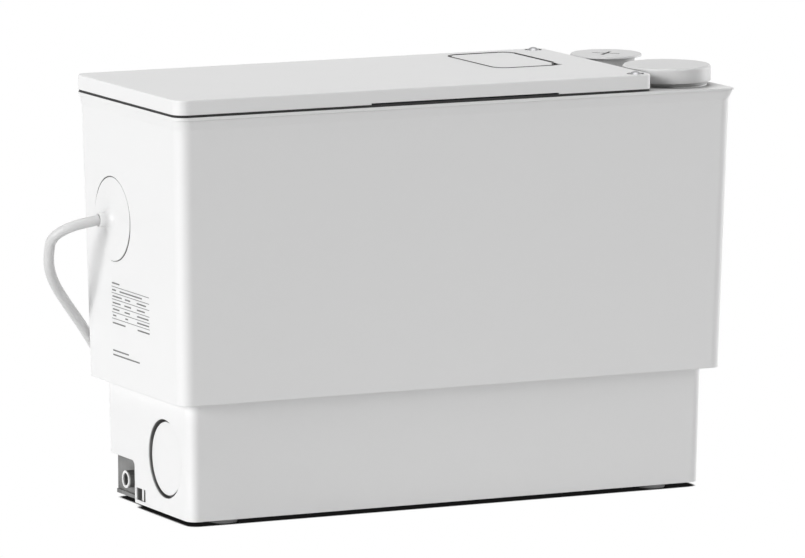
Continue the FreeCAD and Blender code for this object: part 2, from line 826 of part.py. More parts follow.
def make_basket():
    """Open tray that hangs in the cover and holds the carbon filter, with air holes in its floor."""
    body = new_body("filter_basket")
    bottom = hatch_seat - s.filter_height - s.basket_wall - s.gap
    outer = sketch_on(body, "BasketOuter", "XY_Plane", bottom)
    width, depth = basket_outer()
    rounded(outer, width - 2 * s.clearance, depth - 2 * s.clearance, s.hatch_corner - s.clearance,
            hatch_x, filter_y)
    pad(body, outer, cover_top - bottom)
    inner = sketch_on(body, "BasketInner", "XY_Plane", cover_top)
    width, depth = filter_size(s.gap * 2)
    rounded(inner, width, depth, s.hatch_corner - s.basket_wall, hatch_x, filter_y)
    pocket(body, inner, cover_top - bottom - s.basket_wall)
    holes = sketch_on(body, "BasketHoles", "XY_Plane", bottom)
    pitch = s.air_hole_spacing
    for i in range(-2, 3):
        for j in (-1, 0, 1):
            circle(holes, s.nipple_radius, hatch_x + j * pitch, filter_y + i * pitch)
    pocket(body, holes, 2 * s.basket_wall, reverse=True)


# Ports on the deck.
def make_inlet():
    collar_top = s.rim_height + s.inlet_base_height + s.inlet_cap_height - s.lid_wall - s.gap
    stop, bottom = s.inlet_bore - s.seal_section, -1 * s.inlet_depth
    turned("inlet_socket", [
        (s.inlet_bore, bottom + s.tank_wall), (stop, bottom + s.tank_wall), (stop, bottom),
        (s.inlet_tube, bottom), (s.inlet_tube, 0), (s.inlet_base, 0), (s.inlet_base, s.inlet_base_height),
        (s.inlet_collar, s.inlet_base_height),
        (s.inlet_collar, collar_top - s.rim_height), (s.inlet_bore, collar_top - s.rim_height),
    ], port_x, inlet_y, s.rim_height)
    turned("inlet_cap", [
        (0, s.inlet_cap_height - s.lid_wall), (s.inlet_collar + s.gap, s.inlet_cap_height - s.lid_wall),
        (s.inlet_collar + s.gap, 0), (s.inlet_cap_radius, 0), (s.inlet_cap_radius, s.inlet_cap_height - 1),
        (s.inlet_cap_radius - 1, s.inlet_cap_height), (0, s.inlet_cap_height),
    ], port_x, inlet_y, s.rim_height + s.inlet_base_height)


def make_outlet():
    neck_top = s.outlet_neck_height
    shoulder = neck_top - s.spigot_depth
    turned("outlet_socket", [
        (s.outlet_bore, -1 * s.inlet_depth), (s.outlet_neck, -1 * s.inlet_depth), (s.outlet_neck, neck_top),
        (s.spigot_bore, neck_top), (s.spigot_bore, shoulder), (s.outlet_bore, shoulder),
    ], port_x, outlet_y, s.rim_height)
    spigot, reach = s.spigot_bore - s.gap, s.spigot_depth - s.gap
    groove = spigot - s.seal_section
    cap = turned("outlet_cap", [
        (0, -1 * reach), (spigot, -1 * reach), (spigot, -0.6 * reach), (groove, -0.6 * reach),
        (groove, -0.4 * reach), (spigot, -0.4 * reach), (spigot, 0), (s.outlet_cap_radius, 0),
        (s.outlet_cap_radius, s.outlet_cap_thick / 2), (s.outlet_cap_radius - 0.6, s.outlet_cap_thick),
        (0, s.outlet_cap_thick),
    ], port_x, outlet_y, s.rim_height + neck_top)
    for name, angle in (("CrossOne", 45), ("CrossTwo", -45)):
        slot = sketch_on(cap, name, "XY_Plane", s.outlet_cap_thick)
        slot.AttachmentOffset = FreeCAD.Placement(Vector(), FreeCAD.Rotation(Vector(0, 0, 1), angle))
        bind(slot, "AttachmentOffset.Base.z", s.outlet_cap_thick)
        reach_x, reach_y = s.cross_length / 2, s.cross_width / 2
        rectangle(slot, -1 * reach_x, -1 * reach_y, reach_x, reach_y)
        pocket(cap, slot, s.cross_width)
    seal_z = s.rim_height + neck_top - 0.6 * reach
    ring("outlet_cap_seal", groove, s.spigot_bore - s.seal_squeeze, 0.2 * reach, port_x, outlet_y, seal_z)


# Side inlets, fixing sleeves and feet.
def make_side_inlets():
    for name, side in (("left", -1), ("right", 1)):
        face = side_face - s.side_recess
        inner = side_face - s.tank_wall - s.side_boss
        body = new_body("side_inlet_plug_" + name, side * face, side_inlet_y, s.side_inlet_z)
        radius = s.side_bore - s.clearance
        edge = radius - s.side_plug_edge
        step, groove = -side * s.side_plug_step, -side * s.side_plug_groove
        groove_end = -side * (s.side_plug_groove + s.seal_section)
        back, under = -side * (face - inner), -side * s.seal_section * 1.2
        sketch = sketch_on(body, "Plug" + name, "XZ_Plane")
        outline(sketch, [
            (0, 0), (0, edge), (step, edge), (step, radius), (groove, radius),
            (groove, radius - s.seal_section), (groove_end, radius - s.seal_section),
            (groove_end, radius), (back, radius),
            (back, radius - s.tank_wall), (under, radius - s.tank_wall), (under, 0),
        ])
        revolve(body, sketch, "H_Axis")
        seal = new_body("side_inlet_seal_" + name, side * face, side_inlet_y, s.side_inlet_z)
        band = sketch_on(seal, "Seal" + name, "XZ_Plane")
        outline(band, [(groove, radius - s.seal_section), (groove, s.side_bore), (groove_end, s.side_bore),
                       (groove_end, radius - s.seal_section)])
        revolve(seal, band, "H_Axis")


def make_sleeves():
    for name, side in (("left", -1), ("right", 1)):
        body = new_body("fixing_sleeve_" + name, side * notch_wall, sleeve_y, s.sleeve_z)
        sketch = sketch_on(body, "Sleeve" + name, "YZ_Plane")
        circle(sketch, s.sleeve_radius)
        circle(sketch, s.sleeve_bore)
        pad(body, sketch, s.notch_depth - s.gap, reverse=side < 0)


def foot_places():
    x, y = half_width - s.foot_inset_x, half_depth - s.foot_inset_y
    return [(sx * x, sy * y) for sx in (-1, 1) for sy in (-1, 1)]


def make_feet():
    height = float(s.foot_height + s.foot_seat)
    pads = [Part.makeCylinder(float(s.foot_radius), height, at(x, y, 0)) for x, y in foot_places()]
    solid_node("feet", Part.makeCompound(pads))


# Cable gland, cord and plug.
def make_gland():
    reach, rim = s.gland_reach, s.gland_rim
    flank = s.gland_radius - s.gland_lip
    body = new_body("cable_gland", -gland_face, s.gland_y, s.gland_z)
    sketch = sketch_on(body, "GlandProfile", "XZ_Plane")
    outline(sketch, [
        (s.gland_stem, 0), (s.gland_stem, s.gland_thread), (0, s.gland_thread), (0, s.gland_radius),
        (-1 * rim, s.gland_radius), (-1 * rim - 0.10 * reach, s.gland_lip + 0.86 * flank),
        (-0.30 * reach, s.gland_lip + 0.62 * flank), (-0.42 * reach, s.gland_lip + 0.40 * flank),
        (-0.58 * reach, s.gland_lip + 0.20 * flank), (-0.76 * reach, s.gland_lip + 0.07 * flank),
        (-0.9 * reach, s.gland_lip), (-1 * reach, s.gland_lip), (-1 * reach, 0),
    ])
    revolve(body, sketch, "H_Axis")
    nut = new_body("gland_nut", -1 * gland_face + 2 * s.tank_wall, s.gland_y, s.gland_z)
    face = sketch_on(nut, "NutFace", "YZ_Plane")
    circle(face, s.gland_thread * 1.5)
    circle(face, s.gland_thread + s.clearance)
    pad(nut, face, s.nut_height)


def run_between(start, end, straight):
    """Route that leaves its start and reaches its end with straight runs along X."""
    reach = Vector(float(straight), 0, 0)
    return [start, start + reach, end - reach, end]


def rounded_route(points, show=None):
    """Straight runs joined by tangent arcs, each as large as its two runs allow."""
    corners = [Vector(*point) for point in points]
    edges = []
    start = corners[0]
    radii = []
    for before, corner, after in zip(corners, corners[1:], corners[2:]):
        back = before - corner
        forward = after - corner
        shorter = min(back.Length, forward.Length)
        reach = 0.45 * shorter
        turn = math.pi - back.getAngle(forward)
        radii.append(reach / math.tan(turn / 2))
        first = corner + back.normalize() * reach
        last = corner + forward.normalize() * reach
        bisector = ((first - corner) + (last - corner)).normalize()
        centre_away = radii[-1] / math.cos(turn / 2)
        middle = corner + bisector * (centre_away - radii[-1])
        edges.append(Part.LineSegment(start, first).toShape())
        edges.append(Part.Arc(first, middle, last).toShape())
        start = last
    edges.append(Part.LineSegment(start, corners[-1]).toShape())
    wire = Part.Wire(edges)
    if show:
        listed = " ".join("%.0f" % radius for radius in radii)
        print("%s: length %.0f, radii %s" % (show, wire.Length, listed))
    return wire


def pipe_along(wire, radius, bore=None):
    start = wire.Edges[0].valueAt(wire.Edges[0].FirstParameter)
    direction = wire.Edges[0].tangentAt(wire.Edges[0].FirstParameter)
    outer = wire.makePipeShell([Part.Wire(Part.makeCircle(radius, start, direction))], True, False)
    if bore is None:
        return outer
    inner = wire.makePipeShell([Part.Wire(Part.makeCircle(bore, start, direction))], True, False)
    return outer.cut(inner)


def make_cord(label, points):
    radius = float(s.cord_diameter) / 2
    wire = rounded_route(points, label)
    tube = pipe_along(wire, radius)
    expected = math.pi * radius * radius * wire.Length
    print("%s: volume %.0f, section times length %.0f" % (label, tube.Volume, expected))
    solid_node(label, tube)


def biarc(start, start_way, end, end_way):
    """Two arcs that leave one point and reach the next along the given directions."""
    span = end - start
    way_sum = start_way + end_way
    a = 2 * (1 - start_way.dot(end_way))
    b = 2 * span.dot(way_sum)
    c = span.dot(span)
    if abs(a) < 1e-9:
        reach = c / b
    else:
        reach = (-b + math.sqrt(b * b + 4 * a * c)) / (2 * a)
    first_control = start + start_way * reach
    last_control = end - end_way * reach
    joint = (first_control + last_control) * 0.5
    return [control_arc(start, first_control, joint), control_arc(joint, last_control, end)]


def control_arc(start, control, end):
    """Arc that is tangent to the two legs of its control triangle, which are equally long."""
    leg = (control - start).Length
    half_turn = (math.pi - (start - control).getAngle(end - control)) / 2
    radius = leg / math.tan(half_turn)
    away = radius / math.cos(half_turn) - radius
    middle_chord = (start + end) * 0.5
    middle = control + (middle_chord - control).normalize() * away
    return Part.Arc(start, middle, end).toShape()


def coil_point(turns, way=False):
    """Place on the coil after a number of turns, or its direction there."""
    pitch = float(s.cord_diameter + s.coil_gap)
    inner = float(s.coil_middle_radius) - pitch * COIL_TURNS_PER_LAYER / 2
    low = float(s.tie_thick) + 0.15 + float(s.cord_diameter) / 2
    total = 2 * COIL_TURNS_PER_LAYER
    left = turns - COIL_TURNS_PER_LAYER
    radius = inner + pitch * abs(left)
    climb = min(max(left / 0.5 + 0.5, 0.0), 1.0)
    height = low + pitch * (3 * climb ** 2 - 2 * climb ** 3)
    angle = -math.pi / 2 + 2 * math.pi * turns
    outward = Vector(math.cos(angle), math.sin(angle), 0)
    across = Vector(-math.sin(angle), math.cos(angle), 0)
    if not way:
        return Vector(float(s.coil_x), float(s.coil_y), height) + outward * radius
    if turns in (0, total):
        return across
    drift = 0.0 if abs(left) < 1e-6 else math.copysign(pitch / (2 * math.pi), left)
    rise = pitch * 6 * climb * (1 - climb) / 0.5 / (2 * math.pi)
    return (across * radius + outward * drift + Vector(0, 0, rise)).normalize()


def make_inner_lead():
    start = at(-1 * gland_face + s.gland_stem, s.gland_y, s.gland_z)
    block_x = partition_x - s.partition_thick - s.terminal_thick
    end = at(block_x, s.terminal_y, s.terminal_z + s.terminal_height / 2)
    make_cord("inner_lead", run_between(start, end, s.lead_straight))


def make_coil():
    quarter = 0.25
    count = int(round(2 * COIL_TURNS_PER_LAYER / quarter))
    stops = [i * quarter for i in range(count + 1)]
    stub = float(s.cord_diameter)
    first, last = coil_point(0), coil_point(stops[-1])
    first_way, last_way = coil_point(0, True), coil_point(stops[-1], True)
    edges = [Part.LineSegment(first - first_way * stub, first).toShape()]
    for one, two in zip(stops, stops[1:]):
        edges += biarc(coil_point(one), coil_point(one, True), coil_point(two), coil_point(two, True))
    edges.append(Part.LineSegment(last, last + last_way * stub).toShape())
    wire = Part.Wire(edges)
    coil = pipe_along(wire, stub / 2)
    print("power_cord_coil: length %.0f, least gap %.2f" % (wire.Length, least_gap(edges, stub)))
    print("power_cord_coil ends at", first - first_way * stub, last + last_way * stub)
    solid_node("power_cord_coil", coil)


def least_gap(edges, diameter):
    """Least distance between turns, measured on points at least half a turn apart."""
    points = []
    travelled = 0.0
    for edge in edges:
        steps = max(2, int(edge.Length / 2))
        for i in range(steps):
            spot = edge.valueAt(edge.FirstParameter + (edge.LastParameter - edge.FirstParameter) * i / steps)
            points.append((travelled + edge.Length * i / steps, spot))
        travelled += edge.Length
    least = travelled
    for i, (at_one, one) in enumerate(points):
        for at_two, two in points[i + 1:]:
            if at_two - at_one > 12 * diameter:
                least = min(least, (one - two).Length)
    return least - diameter


def make_tie():
    """Strap round the bundle on the coil's far side."""
    pitch = float(s.cord_diameter + s.coil_gap)
    strands = math.floor(COIL_TURNS_PER_LAYER)
    reach = pitch * strands / 2 + float(s.cord_diameter) / 2 + 0.2
    thick, width = float(s.tie_thick), float(s.tie_width)
    low = thick + 0.1
    high = low + 0.1 + pitch + float(s.cord_diameter)
    inner_radius = float(s.coil_middle_radius) - pitch * COIL_TURNS_PER_LAYER / 2
    middle = float(s.coil_y) + inner_radius + pitch * strands / 2
    corner = at(float(s.coil_x) - width / 2, middle - reach - thick, 0)
    outer = Part.makeBox(width, 2 * (reach + thick), high + thick, corner)
    inner = Part.makeBox(width, 2 * reach, high - low, corner + Vector(0, thick, low))
    ends = [edge for edge in outer.Edges if edge.BoundBox.XLength > width / 2]
    solid_node("cord_tie", outer.makeFillet(thick, ends).cut(inner))


def make_plug():
    tail, body_length = s.plug_tail, s.plug_body
    x, y, z = COIL_TO_PLUG[-1]
    plug = new_body("plug")
    plug.Placement.Base = Vector(x, y, z)
    sketch = sketch_on(plug, "PlugProfile", "XZ_Plane")
    outline(sketch, [
        (0, 0), (0, s.plug_tail_radius - 1.5), (tail * 0.6, s.plug_tail_radius), (tail, s.plug_radius * 0.72),
        (tail + 4, s.plug_radius), (tail + body_length, s.plug_radius), (tail + body_length, 0),
    ])
    revolve(plug, sketch, "H_Axis")
    pins = new_body("plug_pins")
    pins.Placement.Base = Vector(x, y, z)
    face = sketch_on(pins, "PinFace", "YZ_Plane", tail + body_length)
    for side in (-1, 1):
        circle(face, s.plug_pin_radius, side * s.plug_pin_spacing / 2, 0)
    pins.AllowCompound = True
    pad(pins, face, s.plug_pin_length)


# Dry compartment, motor and pump.
def make_shelf():
    body = new_body("motor_shelf")
    plate = sketch_on(body, "ShelfPlate", "XY_Plane", shelf_z)
    left = -1 * (half_width - s.upper_draft - s.tank_wall - s.shelf_gap)
    deep = half_depth - s.upper_draft - s.tank_wall - s.shelf_gap
    right = partition_x
    rounded(plate, right - left, 2 * deep, s.rim_corner - s.tank_wall, (left + right) / 2, 0)
    circle(plate, s.seal_radius + s.clearance, pump_x, 0)
    pad(body, plate, s.shelf_thick)
    wall = sketch_on(body, "Partition", "XY_Plane", motor_base)
    rectangle(wall, right - s.partition_thick, -1 * deep, right, deep)
    pad(body, wall, deck_under - motor_base)
    hole = sketch_on(body, "NippleHole", "YZ_Plane", right)
    circle(hole, s.nipple_radius + s.clearance, switch_y, s.switch_z)
    pocket(body, hole, s.partition_thick)


def make_motor():
    wall = s.motor_wall
    seat = s.bearing_radius + s.clearance
    housing = turned("motor_housing", [
        (seat, 0), (s.motor_radius, 0), (s.motor_radius, s.motor_height),
        (s.motor_radius - wall, s.motor_height),
        (s.motor_radius - wall, s.bearing_height), (seat, s.bearing_height),
    ], pump_x, 0, motor_base)
    rib = sketch_on(housing, "Rib", "XY_Plane", wall)
    rectangle(rib, s.motor_radius - wall / 2, -1 * wall / 2, s.motor_radius + s.rib_depth, wall / 2)
    around(housing, pad(housing, rib, s.motor_height - 2 * wall), s.rib_count)
    top = s.motor_cap_height
    turned("motor_end_cap", [
        (0, top - wall), (s.motor_radius * 0.7, top - wall), (s.motor_radius - wall - s.clearance, 0),
        (s.motor_radius, 0), (s.motor_radius, wall), (s.motor_radius * 0.74, top), (0, top),
    ], pump_x, 0, motor_top)
    stator_z = motor_base + s.bearing_height + wall
    ring("stator", s.stator_inner, s.motor_radius - wall, s.stator_height, pump_x, 0, stator_z)
    rotor_z = stator_z + s.air_gap
    ring("rotor", s.shaft_radius, s.stator_inner - s.air_gap, s.stator_height - 2 * s.air_gap,
         pump_x, 0, rotor_z)
    bearing = s.shaft_radius + s.clearance / 2
    ring("bearing_lower", bearing, s.bearing_radius, s.bearing_height, pump_x, 0, motor_base)
    upper_z = motor_top - s.bearing_height - wall
    ring("bearing_upper", bearing, s.bearing_radius, s.bearing_height, pump_x, 0, upper_z)
    spider = new_body("bearing_bracket", pump_x, 0, upper_z)
    arms = sketch_on(spider, "BracketPlate", "XY_Plane")
    circle(arms, s.motor_radius - wall - s.clearance)
    circle(arms, seat)
    pad(spider, arms, s.bearing_height / 2)
    windows = sketch_on(spider, "BracketWindow", "XY_Plane", s.bearing_height / 2)
    circle(windows, s.bearing_radius / 2, (s.bearing_radius + s.motor_radius) / 2, 0)
    around(spider, pocket(spider, windows, s.bearing_height), 6)


def make_shaft():
    bottom = s.volute_base + s.volute_wall
    length = motor_top - bottom
    turned("shaft", [(0, 0), (s.shaft_radius, 0), (s.shaft_radius, length), (0, length)], pump_x, 0, bottom)
    seal_z = motor_base - s.seal_height
    ring("shaft_seal", s.shaft_radius + s.clearance / 2, s.seal_radius, s.seal_height, pump_x, 0, seal_z)


def scroll_face(centre, start, step, height):
    """Spiral outline of four quarter arcs whose radius grows by one step each, closed by a cutwater."""
    radius = start
    middle = Vector(centre.x, centre.y, height)
    direction = Vector(-1, 0, 0)
    edges = []
    point = middle + Vector(0, start, 0)
    opening = point
    for i in range(4):
        side = Vector(direction.y, -direction.x, 0)
        inward = side * -1
        arc_centre = point + inward * radius
        quarter_point = arc_centre + direction * radius
        diagonal = (side + direction).normalize()
        edges.append(Part.Arc(point, arc_centre + diagonal * radius, quarter_point).toShape())
        point = quarter_point
        direction = inward
        radius += step
    edges.append(Part.LineSegment(point, opening).toShape())
    return Part.Face(Part.Wire(edges))


def make_volute():
    centre = at(pump_x, 0, 0)
    start, step, wall = float(s.volute_start), float(s.volute_step), float(s.volute_wall)
    base, height = float(s.volute_base), float(s.volute_height)
    outer = scroll_face(centre, start + wall, step, base).extrude(Vector(0, 0, height))
    hub = Part.makeCylinder(float(s.hub_radius), float(shelf_z - volute_top), at(pump_x, 0, volute_top))
    end = float(volute_spout_end)
    spout_start = at(pump_x, outlet_y, pipe_z)
    spout = Part.makeCylinder(float(s.pipe_bore), end - centre.x, spout_start, Vector(1, 0, 0))
    inner = scroll_face(centre, start, step, base + wall).extrude(Vector(0, 0, height - 2 * wall))
    eye = Part.makeCylinder(float(s.impeller_radius) * 0.55, wall, at(pump_x, 0, base))
    seal_room = Part.makeCylinder(float(s.seal_radius + s.clearance), float(motor_base - volute_top) + wall,
                                  at(pump_x, 0, volute_top) - Vector(0, 0, wall))
    bore_radius = float(s.pipe_bore - s.strainer_wall)
    bore = Part.makeCylinder(bore_radius, end - centre.x, spout_start, Vector(1, 0, 0))
    shape = outer.fuse([hub, spout]).cut([inner, eye, seal_room, bore])
    solid_node("volute_casing", shape.removeSplitter())


def make_impeller():
    centre_x = float(pump_x)
    base = float(s.volute_base + 2 * s.volute_wall + s.nut_height)
    radius, disc = float(s.impeller_radius), float(s.impeller_disc)
    bore, height = float(s.shaft_radius), float(s.blade_height)
    plate = Part.makeCylinder(radius, disc, Vector(centre_x, 0, base + height))
    hub = Part.makeCylinder(bore + 4, height + disc, Vector(centre_x, 0, base))
    blades = []
    thick = float(s.blade_thick)
    arc_radius, arc_centre = radius * 0.62, Vector(radius * 0.52, radius * 0.3, 0)
    for i in range(int(float(s.blade_count))):
        band = Part.makeCylinder(arc_radius, height + disc / 2, arc_centre)
        band = band.cut(Part.makeCylinder(arc_radius - thick, height + disc, arc_centre))
        half = Part.makeBox(2 * radius, radius, height + disc, Vector(bore, -radius * 0.7, 0))
        blade = band.common(half).common(Part.makeCylinder(radius, height + disc))
        blade.rotate(Vector(), Vector(0, 0, 1), 360.0 * i / float(s.blade_count))
        blade.translate(Vector(centre_x, 0, base))
        blades.append(blade)
    shape = plate.fuse([hub] + blades).cut(Part.makeCylinder(bore, 100, Vector(centre_x, 0, base - 50)))
    solid_node("impeller", shape.removeSplitter())
    nut_z = s.volute_base + 2 * s.volute_wall
    ring("impeller_nut", s.shaft_radius, s.shaft_radius + 4, s.nut_height, pump_x, 0, nut_z)


def make_strainer():
    """Cup with upright slots that stands on the tank floor under the casing."""
    height = s.volute_base - floor_z
    body = turned("suction_strainer", [
        (s.strainer_radius - s.strainer_wall, 0), (s.strainer_radius, 0), (s.strainer_radius, height),
        (s.impeller_radius * 0.6, height), (s.impeller_radius * 0.6, height - s.strainer_wall),
        (s.strainer_radius - s.strainer_wall, height - s.strainer_wall),
    ], pump_x, 0, floor_z)
    slot = sketch_on(body, "Slot", "YZ_Plane", s.strainer_radius + s.strainer_wall)
    rectangle(slot, -1 * s.strainer_wall, s.strainer_wall, s.strainer_wall, height - 2 * s.strainer_wall)
    around(body, pocket(body, slot, 3 * s.strainer_wall), s.slot_count)


# Discharge line with its non-return valve.
def make_discharge():
    end = float(volute_spout_end)
    bend = float(s.pipe_bend)
    x, y = float(port_x), float(outlet_y)
    low, high = float(pipe_z), float(valve_bottom)
    start = Vector(end - float(s.nipple_length), y, low)
    corner_in, corner_out = Vector(x - bend, y, low), Vector(x, y, low + bend)
    middle = Vector(x - bend + bend * math.sin(math.pi / 4), y, low + bend - bend * math.cos(math.pi / 4))
    wire = Part.Wire([
        Part.LineSegment(start, corner_in).toShape(), Part.Arc(corner_in, middle, corner_out).toShape(),
        Part.LineSegment(corner_out, Vector(x, y, high)).toShape(),
    ])
    solid_node("discharge_pipe", pipe_along(wire, float(s.pipe_radius), float(s.pipe_bore)))


def make_valve():
    """Body with a seat, and a flap whose eye swings on a pin held in the body's wall."""
    floor = s.flap_thick * 2
    turned("valve_body", [
        (s.valve_seat_bore, 0), (s.valve_radius, 0), (s.valve_radius, s.valve_height),
        (s.valve_bore, s.valve_height), (s.valve_bore, floor), (s.valve_seat_bore, floor),
    ], port_x, outlet_y, valve_bottom)
    seat_z = valve_bottom + floor
    pin_offset = s.flap_radius + s.flap_pin_radius + s.gap
    pin_centre = at(port_x - pin_offset, outlet_y, seat_z + s.flap_eye_radius + s.gap)
    chord = math.sqrt(float(s.valve_bore) ** 2 - float(pin_offset) ** 2)
    length = 2 * (chord + float(s.pin_seat))
    along = Vector(0, 1, 0)
    pin_start = pin_centre - along * (length / 2)
    solid_node("valve_pin", Part.makeCylinder(float(s.flap_pin_radius), length, pin_start, along))
    eye_length, thick = float(s.flap_eye_length), float(s.flap_thick)
    eye_start = pin_centre - along * (eye_length / 2)
    disc = Part.makeCylinder(float(s.flap_radius), thick, at(port_x, outlet_y, seat_z))
    eye = Part.makeCylinder(float(s.flap_eye_radius), eye_length, eye_start, along)
    arm_low = float(seat_z) + 0.8 * thick
    arm_high = pin_centre.z + 0.4 * thick
    arm = Part.makeBox(float(s.flap_radius), eye_length, arm_high - arm_low,
                       Vector(pin_centre.x, eye_start.y, arm_low))
    hole = Part.makeCylinder(float(s.flap_pin_radius + s.clearance / 2), length, pin_start, along)
    solid_node("valve_flap", disc.fuse([eye, arm]).cut(hole).removeSplitter())


# Level sensing and electrics.
def make_level_switch():
    outer, inner = s.level_radius, s.level_radius - s.level_wall
    height = s.level_top - s.level_bottom
    tube = turned("level_tube", [
        (inner, 0), (outer, 0), (outer, height), (s.hanger_radius, height),
        (s.hanger_radius, cover_bottom - s.level_bottom), (0, cover_bottom - s.level_bottom),
        (0, height - s.level_wall), (inner, height - s.level_wall),
    ], level_x, level_y, s.level_bottom)
    nipple = sketch_on(tube, "LevelNipple", "YZ_Plane", -1 * outer + s.level_wall / 2)
    circle(nipple, s.nipple_radius, 0, height - s.nipple_drop)
    pad(tube, nipple, s.nipple_length + s.level_wall / 2, reverse=True)
    air = sketch_on(tube, "LevelNippleBore", "YZ_Plane", -1 * outer - s.nipple_length)
    circle(air, s.nipple_radius / 2, 0, height - s.nipple_drop)
    pocket(tube, air, s.nipple_length + 2 * s.level_wall, reverse=True)
    start = at(partition_x + s.gap, switch_y, s.switch_z)
    end = at(level_x - outer - s.gap, level_y, s.level_top - s.nipple_drop)
    wire = rounded_route(run_between(start, end, s.hose_straight), "air_hose")
    solid_node("air_hose", pipe_along(wire, float(s.nipple_radius + s.hose_wall), float(s.nipple_radius)))
    face = partition_x - s.partition_thick
    switch = new_body("pressure_switch", face, switch_y, s.switch_z)
    shell = sketch_on(switch, "SwitchProfile", "XZ_Plane")
    room_end = s.plunger_length + s.plunger_travel - s.switch_length
    room = s.plunger_radius + s.clearance / 2
    outline(shell, [
        (-1 * s.switch_length, room), (-1 * s.switch_length, s.switch_radius * 0.8),
        (-0.5 * s.switch_length, s.switch_radius * 0.8), (-0.5 * s.switch_length, s.switch_radius),
        (0, s.switch_radius), (0, s.nipple_radius), (s.partition_thick + s.nipple_length, s.nipple_radius),
        (s.partition_thick + s.nipple_length, s.nipple_radius / 2),
        (room_end, s.nipple_radius / 2), (room_end, room),
    ])
    revolve(switch, shell, "H_Axis")
    turned("switch_plunger", [(0, 0), (s.plunger_length, 0), (s.plunger_length, s.plunger_radius),
                              (0, s.plunger_radius)],
           face - s.switch_length, switch_y, s.switch_z, "H_Axis")


def make_electrics():
    turned("capacitor", [
        (0, 0), (s.capacitor_radius, 0), (s.capacitor_radius, s.capacitor_height - 2),
        (s.capacitor_radius - 2, s.capacitor_height), (0, s.capacitor_height),
    ], -1 * half_width + s.capacitor_inset_x, half_depth - s.capacitor_inset_y, motor_base)
    block = new_body("terminal_block")
    back = partition_x - s.partition_thick
    face = sketch_on(block, "TerminalFace", "YZ_Plane", back)
    half = s.terminal_width / 2
    rectangle(face, s.terminal_y - half, s.terminal_z, s.terminal_y + half, s.terminal_z + s.terminal_height)
    pad(block, face, s.terminal_thick, reverse=True)
    ways = sketch_on(block, "TerminalWays", "YZ_Plane", back - s.terminal_thick)
    way_z = s.terminal_z + s.terminal_height * 0.72
    for i in (-2, -1, 1, 2):
        circle(ways, s.nipple_radius, s.terminal_y + i * s.terminal_width / 6, way_z)
    pocket(block, ways, s.terminal_thick / 2, reverse=True)


def write_parts():
    os.makedirs("parts", exist_ok=True)
    doc.recompute()
    for item in doc.Objects:
        if "Invalid" in item.State or "Error" in item.State:
            raise RuntimeError("%s failed: %s" % (item.Label, item.State))
    for node in nodes:
        if node.Shape.isNull() or not node.Shape.isValid():
            raise RuntimeError("%s has no valid shape" % node.Label)
        node.Shape.exportStep("parts/%s.step" % node.Label)
    print("wrote %d parts" % len(nodes))


make_tank()
make_gasket()
make_cover()
make_cover_screws()
make_lid_seal()
make_lid()
make_lid_screws()
make_hatch()
make_filter()
make_basket()
make_inlet()
make_outlet()
make_side_inlets()
make_sleeves()
make_feet()
make_gland()
make_cord("power_cord", GLAND_TO_COIL)
make_coil()
make_cord("plug_cord", COIL_TO_PLUG)
make_inner_lead()
make_tie()
make_plug()
make_shelf()
make_motor()
make_shaft()
make_volute()
make_impeller()
make_strainer()
make_discharge()
make_valve()
make_level_switch()
make_electrics()
write_parts()
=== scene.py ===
import math

import bmesh
import bpy
from mathutils import Matrix, Vector


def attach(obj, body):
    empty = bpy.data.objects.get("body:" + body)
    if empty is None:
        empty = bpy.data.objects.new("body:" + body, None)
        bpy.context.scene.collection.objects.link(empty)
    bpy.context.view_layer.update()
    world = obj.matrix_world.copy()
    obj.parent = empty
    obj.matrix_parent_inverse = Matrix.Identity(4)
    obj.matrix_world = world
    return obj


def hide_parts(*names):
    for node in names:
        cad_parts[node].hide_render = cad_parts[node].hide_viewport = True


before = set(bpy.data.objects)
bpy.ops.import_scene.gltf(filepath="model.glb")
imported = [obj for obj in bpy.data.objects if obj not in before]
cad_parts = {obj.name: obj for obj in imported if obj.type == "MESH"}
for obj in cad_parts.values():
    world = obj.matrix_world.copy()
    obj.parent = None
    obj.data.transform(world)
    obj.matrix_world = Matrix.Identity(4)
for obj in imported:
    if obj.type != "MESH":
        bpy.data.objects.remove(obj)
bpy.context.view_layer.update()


# camera, fitted to the corners of the tank and its lid
viewFit = {
    "eye": (-2.2611, -4.6114, 0.8907),
    "forward": (0.43520, 0.88855, -0.14519),
    "roll": math.radians(0.16),
    "lens": 365.06,
    "sensor": 36.0,
    "clip": (0.5, 40),
}


def makeCamera(fit):
    forward = Vector(fit["forward"]).normalized()
    right = forward.cross(Vector((0, 0, 1))).normalized()
    up = right.cross(forward)
    turn = Matrix((right, up, -forward)).transposed().to_4x4()
    roll = Matrix.Rotation(fit["roll"], 4, "Z")
    data = bpy.data.cameras.new("photoView")
    data.sensor_fit = "HORIZONTAL"
    data.sensor_width = fit["sensor"]
    data.lens = fit["lens"]
    data.clip_start, data.clip_end = fit["clip"]
    camera = bpy.data.objects.new("photoView", data)
    camera.matrix_world = Matrix.Translation(fit["eye"]) @ turn @ roll
    bpy.context.collection.objects.link(camera)
    bpy.context.scene.camera = camera


makeCamera(viewFit)
print("camera set")


